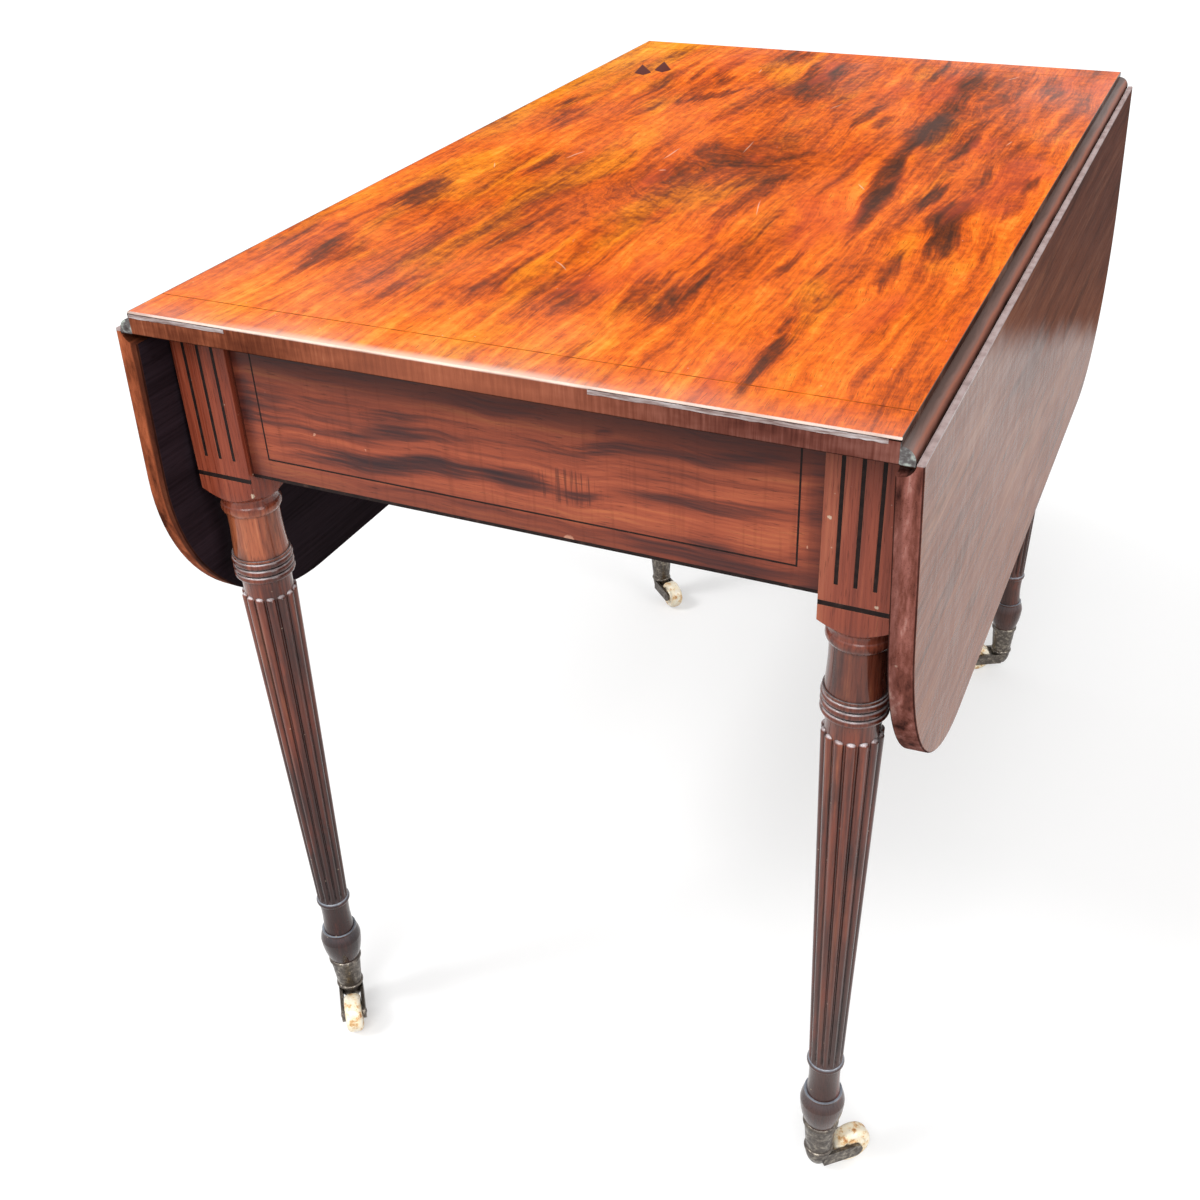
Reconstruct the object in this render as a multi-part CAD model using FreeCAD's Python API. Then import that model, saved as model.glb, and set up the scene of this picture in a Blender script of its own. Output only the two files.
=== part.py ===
import FreeCAD, Part
import math
import os

# A pembroke table: a fixed top with two hanging leaves on rule joints, fly brackets that carry the raised
# leaves, one drawer in the far end, and four turned and reeded legs on brass castors.
# Millimetres, +Z up. The origin is on the floor under the middle of the top, +X runs across the table from
# leaf to leaf, and +Y runs along it, from the plain end to the drawer end.

V = FreeCAD.Vector
ORIGIN = V(0, 0, 0)
ALONG = V(0, 1, 0)
UP = V(0, 0, 1)
TOUCH = 0.01                  # distance under which two places count as the same

# Top and leaves
TABLE_HEIGHT = 712.0
TOP_WIDTH = 514.0             # between the two joint lines
TOP_LENGTH = 870.0
TOP_THICKNESS = 16.0
EDGE_ROUND = 1.6              # worn arrises of the boards
LEAF_WIDTH = 274.0            # joint line to outer edge
LEAF_CORNER_RADIUS = 160.0
LEAF_LEAN = 2.5               # degrees that a hanging leaf stands out from plumb
RULE_STEP = 5.0               # square step above the ovolo
RULE_GAP = 0.7                # play between ovolo and hollow
RULE_LINE_GAP = 0.3           # open line between the fixed top and a raised leaf

# Table hinges
HINGE_COUNT = 3
HINGE_INSET = 150.0           # end of the top to the middle of the outer hinges
HINGE_PIN_HEIGHT = 2.5        # pin axis above the underside of the boards
HINGE_PIN_RADIUS = 1.2
HINGE_LENGTH = 40.0
HINGE_KNUCKLES = 5
HINGE_KNUCKLE_RADIUS = 2.4
HINGE_FLAP_THICKNESS = 1.8
HINGE_TOP_FLAP = 30.0
HINGE_LEAF_FLAP = 46.0
HINGE_PLAY = 0.3
HINGE_ROOT_GAP = 0.5          # flap edge to the other flap's knuckle
PIN_PLAY = 0.05               # running clearance round every pin and axle

# Screws
SCREW_PLAY = 0.1
HINGE_SCREW_COVER = 6.0       # wood left above the point
HINGE_SCREW_HEAD = 2.6
HINGE_SCREW_SHANK = 1.3
HINGE_SCREW_OUTER = 6.0       # from the end of a flap to its single screw
HINGE_SCREW_PITCH = 13.0      # along the pin and across to the pair of screws
TOP_SCREW_HEAD = 4.0
TOP_SCREW_SHANK = 2.0
TOP_SCREW_COVER = 7.0         # wood left above the point
TOP_SCREW_INSET = 100.0       # post to the nearest screw
POCKET_DEPTH = 12.0
POCKET_WIDTH = 14.0
POCKET_HEIGHT = 26.0
POCKET_LEDGE = 31.0           # wood left between a pocket and the top

# Frame
LEAF_CLEARANCE = 0.5          # outer face of a post to a leaf that hangs plumb
END_OVERHANG = 28.6           # end of the top to the end face of a post
POST_SIZE = 45.2
POST_LENGTH = 135.0
POST_CORNER_RISE = 7.0        # height of the turned-off lower corners of a post
RAIL_HEIGHT = 113.4
END_RAIL_THICKNESS = 20.0
END_RAIL_SETBACK = 5.8
SIDE_RAIL_THICKNESS = 18.0
TENON_THICKNESS = 8.0
TENON_SHOULDER = 10.0         # rail left above and below a tenon
END_TENON_LENGTH = 15.0
TENON_GAP = 3.4               # wood between the two tenons in a post

# Inlay
STRING_DEPTH = 1.2
TOP_STRING_INSET = 35.0
TOP_STRING_WIDTH = 0.9
PANEL_STRING_WIDTH = 1.3
ARRIS_STRING_SIZE = 2.6
POST_STRING_WIDTH = 2.5
POST_STRING_PITCH = 12.0
POST_STRING_COUNT = 3
POST_STRING_START = 34.5      # foot of the upright lines above the foot of the post
POST_BAND_START = 18.2
POST_BAND_HEIGHT = 3.4

# Fly rails and brackets
FLY_THICKNESS = 20.0
FLY_PIN_SPACING = 156.0
FLY_END_BLOCK = 82.6          # fixed block between a post and a bracket's tip
FLY_ROOT_LENGTH = 34.0        # full-height stretch beside the pin
FLY_TIP_LENGTH = 14.0
FLY_TIP_HEIGHT = 42.0
FLY_FINGERS = 5
FLY_PIN_RADIUS = 2.5
FLY_GAP = 0.4
FLY_TIP_GAP = 0.8

# Drawer
STILE_WIDTH = 15.2
LOWER_RAIL_HEIGHT = 16.0
UPPER_RAIL_HEIGHT = 11.3
DRAWER_PLAY = 0.8
DRAWER_RIDE = 0.3
DRAWER_LENGTH = 420.0
DRAWER_SIDE_THICKNESS = 9.0
DRAWER_SIDE_DROP = 6.0        # side edge below the top of the front
DRAWER_BACK_THICKNESS = 9.0
DRAWER_BACK_DROP = 5.0
DRAWER_BOTTOM_THICKNESS = 6.0
DRAWER_BOTTOM_RAISE = 7.0
GROOVE_DEPTH = 4.5
TAIL_COUNT = 3
TAIL_LAP = 6.0                # drawer front left over the ends of the tails
TAIL_NECK = 0.5               # share of the tail pitch, at the shoulder
TAIL_END = 0.74               # share of the tail pitch, at the end
RUNNER_BEARING = 12.0         # runner showing inside the guide
GUIDE_HEIGHT = 30.0
KICKER_GAP = 1.0
STOP_LENGTH = 16.0
STOP_HEIGHT = 20.0
KNOB_INSET = 82.8             # end of the drawer front to the middle of a knob
KNOB_RADIUS = 13.0
KNOB_NECK_RADIUS = 6.0
KNOB_BASE_RADIUS = 9.0
KNOB_BASE_HEIGHT = 3.0
KNOB_NECK_HEIGHT = 7.5
KNOB_CREST_HEIGHT = 15.0
KNOB_PROJECTION = 24.0
KNOB_SPIGOT_RADIUS = 4.5

# Leg turning, from the post down
SHOULDER_HEIGHT = 6.8
SHOULDER_RADIUS = 20.8
BEAD_HEIGHT = 9.0
BEAD_RADIUS = 22.2
DRUM_LENGTH = 36.0
DRUM_TOP_RADIUS = 19.3
DRUM_WAIST_RADIUS = 19.4
DRUM_FOOT_RADIUS = 20.6
RING_FILLET = 1.8
RING_FILLET_RADIUS = 21.8
RING_COUNT = 3
RING_HEIGHT = 6.0
RING_RADIUS = 22.8
RING_QUIRK_RADIUS = 20.4
NECK_LENGTH = 14.0
NECK_TOP_RADIUS = 19.4
NECK_RADIUS = 18.7

# Reeded taper
REED_COUNT = 14
REED_TOP_RADIUS = 21.2        # over the crests
REED_FOOT_RADIUS = 13.4
REED_FILL = 0.97              # reed width over reed pitch
REED_SINK = 0.3               # groove floor above the reed centres, in reed radii
REED_CROWN = 0.75             # rounded reed head, in reed radii
REED_FLARE = 13.0             # height of the flare above the ankle ring
REED_FOOT_SINK = 1.5          # reeds let into the ankle ring

# Foot of the leg, from the castor up
ANKLE_RING_HEIGHT = 6.0
ANKLE_RING_RADIUS = 14.8
ANKLE_LENGTH = 34.0
ANKLE_TOP_RADIUS = 13.0
ANKLE_WAIST_RADIUS = 12.3
ANKLE_FOOT_RADIUS = 13.6
BULB_FILLET = 2.0
BULB_FILLET_RADIUS = 15.4
BULB_HEIGHT = 35.0
BULB_RADIUS = 18.0
BULB_RISE = 26.0              # widest place above the foot of the bulb
BULB_SHOULDER_RADIUS = 17.1
BULB_SWELL_RADIUS = 16.8
SPIGOT_GAP = 3.0              # end of the spigot above the floor of the cup

# Castors
WHEEL_RADIUS = 17.5
WHEEL_WIDTH = 15.0
WHEEL_SHOULDER = 4.5
WHEEL_HUB_RADIUS = 6.5
WHEEL_DISH = 1.4
WHEEL_DISH_RADIUS = 12.0
WHEEL_PLAY = 0.6              # wheel to each cheek
WHEEL_RIM_PLAY = 1.2
CASTOR_TRAIL = 30.0
AXLE_RADIUS = 2.4
AXLE_HEAD_RADIUS = 3.4
AXLE_HEAD_HEIGHT = 1.0
CHEEK_THICKNESS = 3.0
CHEEK_END_RADIUS = 6.6
BOSS_DROP = 4.7               # underside of the horn below the axle
BOSS_FOOT_RADIUS = 7.0
BOSS_SWELL_RADIUS = 10.2
BOSS_TOP_RADIUS = 11.0
CUP_RISE = 10.5               # underside of the cup above the axle
CUP_HORN_GAP = 0.3
CUP_HEIGHT = 38.0
CUP_FLOOR = 6.0
CUP_WALL = 2.0
CUP_WALL_PLAY = 0.1
CUP_TOP_RADIUS = 13.4
CUP_FOOT_RADIUS = 11.0
CUP_RIM_HEIGHT = 5.0
CUP_RIM_RADIUS = 14.7
CUP_RING_HEIGHT = 4.0
CUP_RING_RADIUS = 12.3
SWIVEL_RADIUS = 3.5
SWIVEL_HEAD_RADIUS = 5.4
SWIVEL_HEAD_HEIGHT = 1.6

# Legs: name, side across the table, side along it, and the way its castor trails, in degrees from +X
LEGS = [
    ("front_left", -1, -1, -53.0),
    ("front_right", 1, -1, 46.0),
    ("rear_left", -1, 1, -38.0),
    ("rear_right", 1, 1, -160.0),
]
SIDES = [("left", -1), ("right", 1)]

# Places worked out from the sizes above
UNDERSIDE_Z = TABLE_HEIGHT - TOP_THICKNESS
JOINT_X = TOP_WIDTH / 2
END_Y = TOP_LENGTH / 2
PIN_Z = UNDERSIDE_Z + HINGE_PIN_HEIGHT
OVOLO_RADIUS = TOP_THICKNESS - RULE_STEP - HINGE_PIN_HEIGHT
HOLLOW_RADIUS = OVOLO_RADIUS + RULE_GAP
POST_OUTER_X = JOINT_X - HINGE_PIN_HEIGHT - LEAF_CLEARANCE
POST_INNER_X = POST_OUTER_X - POST_SIZE
POST_END_Y = END_Y - END_OVERHANG
POST_BACK_Y = POST_END_Y - POST_SIZE
POST_FOOT_Z = UNDERSIDE_Z - POST_LENGTH
LEG_X = POST_OUTER_X - POST_SIZE / 2
LEG_Y = POST_END_Y - POST_SIZE / 2
RAIL_FOOT_Z = UNDERSIDE_Z - RAIL_HEIGHT
RAIL_FACE_Y = POST_END_Y - END_RAIL_SETBACK
RAIL_BACK_Y = RAIL_FACE_Y - END_RAIL_THICKNESS
RAIL_MIDDLE_Y = RAIL_FACE_Y - END_RAIL_THICKNESS / 2
SIDE_TENON_Y = RAIL_MIDDLE_Y - TENON_THICKNESS / 2 - TENON_GAP
SIDE_RAIL_OUTER_X = POST_INNER_X + SIDE_RAIL_THICKNESS
FLY_OUTER_X = SIDE_RAIL_OUTER_X + FLY_THICKNESS
FLY_PIN_X = SIDE_RAIL_OUTER_X + FLY_THICKNESS / 2
FLY_PIN_Y = FLY_PIN_SPACING / 2
FLY_BLOCK_Y = POST_BACK_Y - FLY_END_BLOCK
FLY_TIP_Y = FLY_BLOCK_Y - FLY_TIP_GAP
FLY_KNUCKLE_RADIUS = FLY_THICKNESS / 2 - FLY_GAP
OPENING_X = POST_INNER_X - STILE_WIDTH
OPENING_FOOT_Z = RAIL_FOOT_Z + LOWER_RAIL_HEIGHT
OPENING_TOP_Z = UNDERSIDE_Z - UPPER_RAIL_HEIGHT
DRAWER_X = OPENING_X - DRAWER_PLAY
DRAWER_FOOT_Z = OPENING_FOOT_Z + DRAWER_RIDE
DRAWER_TOP_Z = OPENING_TOP_Z - DRAWER_PLAY
DRAWER_SIDE_TOP_Z = DRAWER_TOP_Z - DRAWER_SIDE_DROP
DRAWER_BACK_Y = RAIL_FACE_Y - DRAWER_LENGTH
DRAWER_BOTTOM_Z = DRAWER_FOOT_Z + DRAWER_BOTTOM_RAISE
DRAWER_FLOOR_Z = DRAWER_BOTTOM_Z + DRAWER_BOTTOM_THICKNESS
BOSS_FOOT = WHEEL_RADIUS - BOSS_DROP
CUP_FOOT = WHEEL_RADIUS + CUP_RISE
CUP_RIM_Z = CUP_FOOT + CUP_HEIGHT
BULB_TOP_Z = CUP_RIM_Z + BULB_HEIGHT
ANKLE_FOOT_Z = BULB_TOP_Z + BULB_FILLET
ANKLE_TOP_Z = ANKLE_FOOT_Z + ANKLE_LENGTH
REED_FOOT_Z = ANKLE_TOP_Z + ANKLE_RING_HEIGHT
BEAD_TOP_Z = POST_FOOT_Z - SHOULDER_HEIGHT
DRUM_TOP_Z = BEAD_TOP_Z - BEAD_HEIGHT
DRUM_FOOT_Z = DRUM_TOP_Z - DRUM_LENGTH
RINGS_TOP_Z = DRUM_FOOT_Z - RING_FILLET
NECK_TOP_Z = RINGS_TOP_Z - RING_COUNT * RING_HEIGHT
NECK_FOOT_Z = NECK_TOP_Z - NECK_LENGTH
CHEEK_INNER = WHEEL_WIDTH / 2 + WHEEL_PLAY
CHEEK_OUTER = CHEEK_INNER + CHEEK_THICKNESS
BOSS_TOP = CUP_FOOT - CUP_HORN_GAP


def both(reach):
    """Span of the given reach to both sides of the middle."""
    return (-reach, reach)


def block(x, y, z):
    """Box between the two ends given on each axis, in either order."""
    low = V(min(x), min(y), min(z))
    high = V(max(x), max(y), max(z))
    size = high - low
    return Part.makeBox(size.x, size.y, size.z, low)


def rod(radius, start, end):
    """Cylinder from one point to another."""
    run = end - start
    return Part.makeCylinder(radius, run.Length, start, run)


def outline_face(steps):
    """Flat face from corner points; a pair of points is an arc through the first to the second."""
    edges = []
    here = steps[0]
    for step in steps[1:] + steps[:1]:
        if isinstance(step, tuple):
            edges.append(Part.Arc(here, step[0], step[1]).toShape())
            here = step[1]
        else:
            edges.append(Part.makeLine(here, step))
            here = step
    return Part.Face(Part.Wire(edges))


def turned(stations):
    """Solid turned about Z from (radius, z) stations; four numbers are an arc through the first pair."""
    steps = []
    for station in stations:
        end = V(station[-2], 0, station[-1])
        if len(station) > 2:
            steps.append((V(station[0], 0, station[1]), end))
        else:
            steps.append(end)
    if stations[0][0]:
        steps.insert(0, V(0, 0, stations[0][1]))
    if stations[-1][-2]:
        steps.append(V(0, 0, stations[-1][-1]))
    return outline_face(steps).revolve(ORIGIN, UP, 360)


def bead(crest, quirk, start, end):
    """Turning station for a half-round bead between two heights."""
    return (crest, (start + end) / 2, quirk, end)


def dome(radius, start, rise):
    """Middle point of a round cap that rises from the given radius and height to the axis."""
    ball = (radius ** 2 + rise ** 2) / (2 * rise)
    half_turn = math.atan2(radius, abs(ball) - abs(rise)) / 2
    return (abs(ball) * math.sin(half_turn), start + rise - ball + ball * math.cos(half_turn))


def mirrored(shape):
    """The same piece on the other side of the table."""
    return shape.mirror(ORIGIN, V(1, 0, 0))


def on_side(shape, side):
    """A piece built on the +X side, moved to the side wanted."""
    return shape if side > 0 else mirrored(shape)


def round_edges(shape, radius, wanted):
    """Round the edges whose middle point passes the test."""
    edges = [edge for edge in shape.Edges if wanted(edge.CenterOfMass)]
    return shape.makeFillet(radius, edges)


def screw(length, head, shank, play=0.0):
    """Countersunk screw along +Z, its flat head face at the origin."""
    sink = head - shank
    stations = [
        (head + play, 0),
        (shank + play, sink),
        (shank + play, length - shank),
        (0, length + play),
    ]
    return turned(stations)


def hinge_places():
    """Middle of each hinge along the table."""
    spacing = (TOP_LENGTH - 2 * HINGE_INSET) / (HINGE_COUNT - 1)
    return [HINGE_INSET - END_Y + spacing * index for index in range(HINGE_COUNT)]


def hinge_span(y):
    return (y - HINGE_LENGTH / 2, y + HINGE_LENGTH / 2)


def hinge_screw_places(y, reach):
    """Screw heads of a flap on the +X side: a pair near the pin and one near the flap's end."""
    step = math.copysign(1, reach)
    outer = JOINT_X + reach - step * HINGE_SCREW_OUTER
    inner = outer - step * HINGE_SCREW_PITCH
    places = [(outer, y), (inner, y - HINGE_SCREW_PITCH), (inner, y + HINGE_SCREW_PITCH)]
    return [V(across, along, UNDERSIDE_Z) for across, along in places]


def hinge_screws(reach, play=0.0):
    """All screws of the flaps of that reach on the +X side, leaf raised."""
    model = screw(TOP_THICKNESS - HINGE_SCREW_COVER, HINGE_SCREW_HEAD, HINGE_SCREW_SHANK, play)
    places = [place for y in hinge_places() for place in hinge_screw_places(y, reach)]
    return [model.translated(place) for place in places]


def hinge_flap(y, reach, own):
    """One flap with every second knuckle, leaf raised; a positive reach lies under the leaf."""
    root = math.copysign(HINGE_KNUCKLE_RADIUS + HINGE_ROOT_GAP, reach)
    plate_z = (UNDERSIDE_Z, UNDERSIDE_Z + HINGE_FLAP_THICKNESS)
    pieces = [block((JOINT_X + root, JOINT_X + reach), hinge_span(y), plate_z)]
    pitch = HINGE_LENGTH / HINGE_KNUCKLES
    for index in range(own, HINGE_KNUCKLES, 2):
        start = y - HINGE_LENGTH / 2 + index * pitch + HINGE_PLAY / 2
        end = start + pitch - HINGE_PLAY
        pieces.append(block((JOINT_X, JOINT_X + root), (start, end), plate_z))
        pieces.append(rod(HINGE_KNUCKLE_RADIUS, V(JOINT_X, start, PIN_Z), V(JOINT_X, end, PIN_Z)))
    flap = pieces[0].multiFuse(pieces[1:])
    low, high = hinge_span(y)
    bore = rod(HINGE_PIN_RADIUS + PIN_PLAY, V(JOINT_X, low, PIN_Z), V(JOINT_X, high, PIN_Z))
    return flap.cut([bore] + hinge_screws(reach, SCREW_PLAY)).removeSplitter()


def hinge_pins():
    """Pins of the hinges on the +X side."""
    spans = [hinge_span(y) for y in hinge_places()]
    return [rod(HINGE_PIN_RADIUS, V(JOINT_X, low, PIN_Z), V(JOINT_X, high, PIN_Z)) for low, high in spans]


def hinge_gains():
    """Wood taken out of the fixed top for the hinges of the +X side."""
    gains = []
    groove = max(HINGE_KNUCKLE_RADIUS, HINGE_PIN_HEIGHT) + HINGE_PLAY
    flap_z = (UNDERSIDE_Z, UNDERSIDE_Z + HINGE_FLAP_THICKNESS)
    sweep_z = (UNDERSIDE_Z, UNDERSIDE_Z + HINGE_FLAP_THICKNESS + HINGE_PLAY)
    for y in hinge_places():
        low, high = hinge_span(y)
        wide = (low - HINGE_PLAY, high + HINGE_PLAY)
        gains.append(block((JOINT_X - HINGE_TOP_FLAP, JOINT_X), (low, high), flap_z))
        gains.append(block((JOINT_X, JOINT_X + OVOLO_RADIUS + RULE_GAP), wide, sweep_z))
        gains.append(block((JOINT_X - groove, JOINT_X + groove), wide, (UNDERSIDE_Z, PIN_Z)))
        gains.append(rod(groove, V(JOINT_X, wide[0], PIN_Z), V(JOINT_X, wide[1], PIN_Z)))
    return gains


def hung(shape):
    """A piece of the +X leaf, turned down from the raised place to the hanging one."""
    return shape.rotated(V(JOINT_X, 0, PIN_Z), ALONG, 90 - LEAF_LEAN)


def pocket_screw_places():
    """Screw axes of the top fixing: (x, y, unit step from the rail's inner face into the rail)."""
    places = []
    inset = POCKET_DEPTH / 2
    for index in (-1, 0, 1):
        y = index * (POST_BACK_Y - TOP_SCREW_INSET)
        places.append((POST_INNER_X + inset, y, V(1, 0, 0)))
        places.append((-POST_INNER_X - inset, y, V(-1, 0, 0)))
    for side in (-1, 1):
        places.append((side * (POST_INNER_X - TOP_SCREW_INSET), -RAIL_BACK_Y - inset, V(0, -1, 0)))
    return places


def top_fixing_screws(play=0.0):
    """Screws driven up through the rail pockets into the top."""
    length = POCKET_LEDGE + TOP_THICKNESS - TOP_SCREW_COVER
    model = screw(length, TOP_SCREW_HEAD, TOP_SCREW_SHANK, play)
    return [model.translated(V(x, y, UNDERSIDE_Z - POCKET_LEDGE)) for x, y, _ in pocket_screw_places()]


def screw_pockets():
    """Wood taken out of the inner faces of the rails below the fixing screws."""
    top = UNDERSIDE_Z - POCKET_LEDGE
    pockets = []
    for x, y, step in pocket_screw_places():
        deep = POCKET_DEPTH / 2
        half_x = deep if step.x else POCKET_WIDTH / 2
        half_y = deep if step.y else POCKET_WIDTH / 2
        pockets.append(block((x - half_x, x + half_x), (y - half_y, y + half_y), (top - POCKET_HEIGHT, top)))
    return pockets


def top_stringing():
    """Two fine dark lines let into the top, one across each end."""
    lines = []
    for end in (-1, 1):
        y = end * (END_Y - TOP_STRING_INSET)
        across = (y - TOP_STRING_WIDTH / 2, y + TOP_STRING_WIDTH / 2)
        lines.append(block(both(JOINT_X), across, (TABLE_HEIGHT - STRING_DEPTH, TABLE_HEIGHT)))
    return lines


def top_board():
    """Fixed top: flat board with an ovolo along each side."""
    board = block(both(JOINT_X), both(END_Y), (UNDERSIDE_Z, TABLE_HEIGHT))
    board = round_edges(board, EDGE_ROUND, lambda mid: abs(mid.x) < TOUCH and abs(mid.y) > END_Y - TOUCH)
    ovolo = rod(OVOLO_RADIUS, V(JOINT_X, -END_Y, PIN_Z), V(JOINT_X, END_Y, PIN_Z))
    keep = block((JOINT_X, JOINT_X + OVOLO_RADIUS), both(END_Y), (UNDERSIDE_Z, TABLE_HEIGHT))
    ovolo = ovolo.common(keep)
    gains = hinge_gains() + hinge_screws(-HINGE_TOP_FLAP, SCREW_PLAY)
    board = board.multiFuse([ovolo, mirrored(ovolo)]).removeSplitter()
    cuts = gains + [mirrored(gain) for gain in gains]
    return board.cut(cuts + top_fixing_screws(SCREW_PLAY) + top_stringing())


def leaf():
    """Leaf of the +X side, raised: rounded outer corners and the hollow of the rule joint."""
    inner = JOINT_X + RULE_LINE_GAP
    outer = JOINT_X + LEAF_WIDTH
    bend = LEAF_CORNER_RADIUS
    lag = bend * (1 - math.sqrt(0.5))
    z = UNDERSIDE_Z
    corners = [
        V(inner, -END_Y, z),
        V(outer - bend, -END_Y, z),
        (V(outer - lag, -END_Y + lag, z), V(outer, -END_Y + bend, z)),
        V(outer, END_Y - bend, z),
        (V(outer - lag, END_Y - lag, z), V(outer - bend, END_Y, z)),
        V(inner, END_Y, z),
    ]
    board = outline_face(corners).extrude(V(0, 0, TOP_THICKNESS))
    middle_z = UNDERSIDE_Z + TOP_THICKNESS / 2
    board = round_edges(
        board, EDGE_ROUND, lambda mid: mid.x > inner + TOUCH and abs(mid.z - middle_z) > TOUCH
    )
    hollow = rod(HOLLOW_RADIUS, V(JOINT_X, -END_Y, PIN_Z), V(JOINT_X, END_Y, PIN_Z))
    flap_z = (UNDERSIDE_Z, UNDERSIDE_Z + HINGE_FLAP_THICKNESS)
    reach = (JOINT_X, JOINT_X + HINGE_LEAF_FLAP)
    gains = [block(reach, hinge_span(y), flap_z) for y in hinge_places()]
    return board.cut([hollow] + gains + hinge_screws(HINGE_LEAF_FLAP, SCREW_PLAY))


def side_tenon_z():
    """Height of the tenons of the deep rails."""
    return (RAIL_FOOT_Z + TENON_SHOULDER, UNDERSIDE_Z - TENON_SHOULDER)


def end_tenon_y(end):
    """Thickness of the tenons at one end of the table."""
    return (end * (RAIL_MIDDLE_Y - TENON_THICKNESS / 2), end * (RAIL_MIDDLE_Y + TENON_THICKNESS / 2))


def end_rail_front():
    """Plain end rail, tenoned into the front posts."""
    rail = block(both(POST_INNER_X), (-RAIL_FACE_Y, -RAIL_BACK_Y), (RAIL_FOOT_Z, UNDERSIDE_Z))
    tenon = block(both(POST_INNER_X + END_TENON_LENGTH), end_tenon_y(-1), side_tenon_z())
    cuts = end_stringing(-1) + screw_pockets() + top_fixing_screws(SCREW_PLAY)
    return rail.fuse(tenon).removeSplitter().cut(cuts)


def drawer_rail(low, high):
    """Rail above or below the drawer, with a full-height stub tenon into each rear post."""
    rail = block(both(POST_INNER_X), (RAIL_BACK_Y, RAIL_FACE_Y), (low, high))
    tenon = block(both(POST_INNER_X + END_TENON_LENGTH), end_tenon_y(1), (low, high))
    return rail.fuse(tenon).removeSplitter()


def rear_stiles():
    """Uprights that close the rear end between the posts and the drawer."""
    z = (OPENING_FOOT_Z, OPENING_TOP_Z)
    return [block((side * OPENING_X, side * POST_INNER_X), (RAIL_BACK_Y, RAIL_FACE_Y), z) for side in (-1, 1)]


def side_rail():
    """Inner side rail on the +X side, tenoned into its two posts."""
    rail = block((POST_INNER_X, SIDE_RAIL_OUTER_X), both(POST_BACK_Y), (RAIL_FOOT_Z, UNDERSIDE_Z))
    middle = (POST_INNER_X + SIDE_RAIL_OUTER_X) / 2
    tenon_x = (middle - TENON_THICKNESS / 2, middle + TENON_THICKNESS / 2)
    tenon = block(tenon_x, both(SIDE_TENON_Y), side_tenon_z())
    return rail.fuse(tenon).removeSplitter().cut(screw_pockets() + top_fixing_screws(SCREW_PLAY))


def fly_fingers(own, radius, play):
    """Wooden knuckles round the +X, +Y fly pin: every second one from the given first."""
    pitch = (RAIL_HEIGHT - FLY_GAP) / FLY_FINGERS
    fingers = []
    for index in range(own, FLY_FINGERS, 2):
        low = RAIL_FOOT_Z + index * pitch - play
        high = RAIL_FOOT_Z + (index + 1) * pitch + play
        fingers.append(rod(radius, V(FLY_PIN_X, FLY_PIN_Y, low), V(FLY_PIN_X, FLY_PIN_Y, high)))
    return fingers


def fly_pin(play=0.0):
    """Upright pin of the +X, +Y fly bracket."""
    foot = V(FLY_PIN_X, FLY_PIN_Y, RAIL_FOOT_Z - play)
    return rod(FLY_PIN_RADIUS + play, foot, V(FLY_PIN_X, FLY_PIN_Y, UNDERSIDE_Z - FLY_GAP + play))


def lengthwise(shapes):
    """The shapes and their copies at the other end of the table."""
    return shapes + [shape.mirror(ORIGIN, ALONG) for shape in shapes]


def fly_rail():
    """Fixed middle of the +X fly rail with a knuckle at each end, and the blocks beside the posts."""
    x = (SIDE_RAIL_OUTER_X, FLY_OUTER_X)
    z = (RAIL_FOOT_Z, UNDERSIDE_Z)
    rail = block(x, both(FLY_PIN_Y), z).cut(
        lengthwise(fly_fingers(1, FLY_KNUCKLE_RADIUS + FLY_GAP, FLY_GAP / 2))
    )
    rail = rail.multiFuse(lengthwise(fly_fingers(0, FLY_KNUCKLE_RADIUS, -FLY_GAP / 2)))
    rail = rail.cut(lengthwise([fly_pin(PIN_PLAY)])).removeSplitter()
    end_block = block(x, (FLY_BLOCK_Y, POST_BACK_Y), z)
    return [rail] + lengthwise([end_block])


def fly_bracket():
    """Swinging bracket of the +X side, +Y end, closed against the side rail."""
    root = FLY_PIN_Y + FLY_ROOT_LENGTH
    tip_start = FLY_TIP_Y - FLY_TIP_LENGTH
    top = UNDERSIDE_Z - FLY_GAP
    foot = RAIL_FOOT_Z + FLY_GAP
    tip_foot = top - FLY_TIP_HEIGHT
    run = tip_start - root
    rise = tip_foot - foot
    bend = (run ** 2 + rise ** 2) / (4 * rise)
    half_turn = math.asin(run / 2 / bend) / 2
    sway = bend * math.sin(half_turn)
    lift = bend * (1 - math.cos(half_turn))
    x = FLY_PIN_X - FLY_KNUCKLE_RADIUS
    middle = V(x, root + run / 2, foot + rise / 2)
    steps = [
        V(x, FLY_PIN_Y, foot),
        V(x, root, foot),
        (V(x, root + sway, foot + lift), middle),
        (V(x, tip_start - sway, tip_foot - lift), V(x, tip_start, tip_foot)),
        V(x, FLY_TIP_Y, tip_foot),
        V(x, FLY_TIP_Y, top),
        V(x, FLY_PIN_Y, top),
    ]
    arm = outline_face(steps).extrude(V(2 * FLY_KNUCKLE_RADIUS, 0, 0))
    arm = arm.cut(fly_fingers(0, FLY_KNUCKLE_RADIUS + FLY_GAP, FLY_GAP / 2))
    arm = arm.multiFuse(fly_fingers(1, FLY_KNUCKLE_RADIUS, -FLY_GAP / 2))
    return arm.cut(fly_pin(PIN_PLAY)).removeSplitter()


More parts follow.
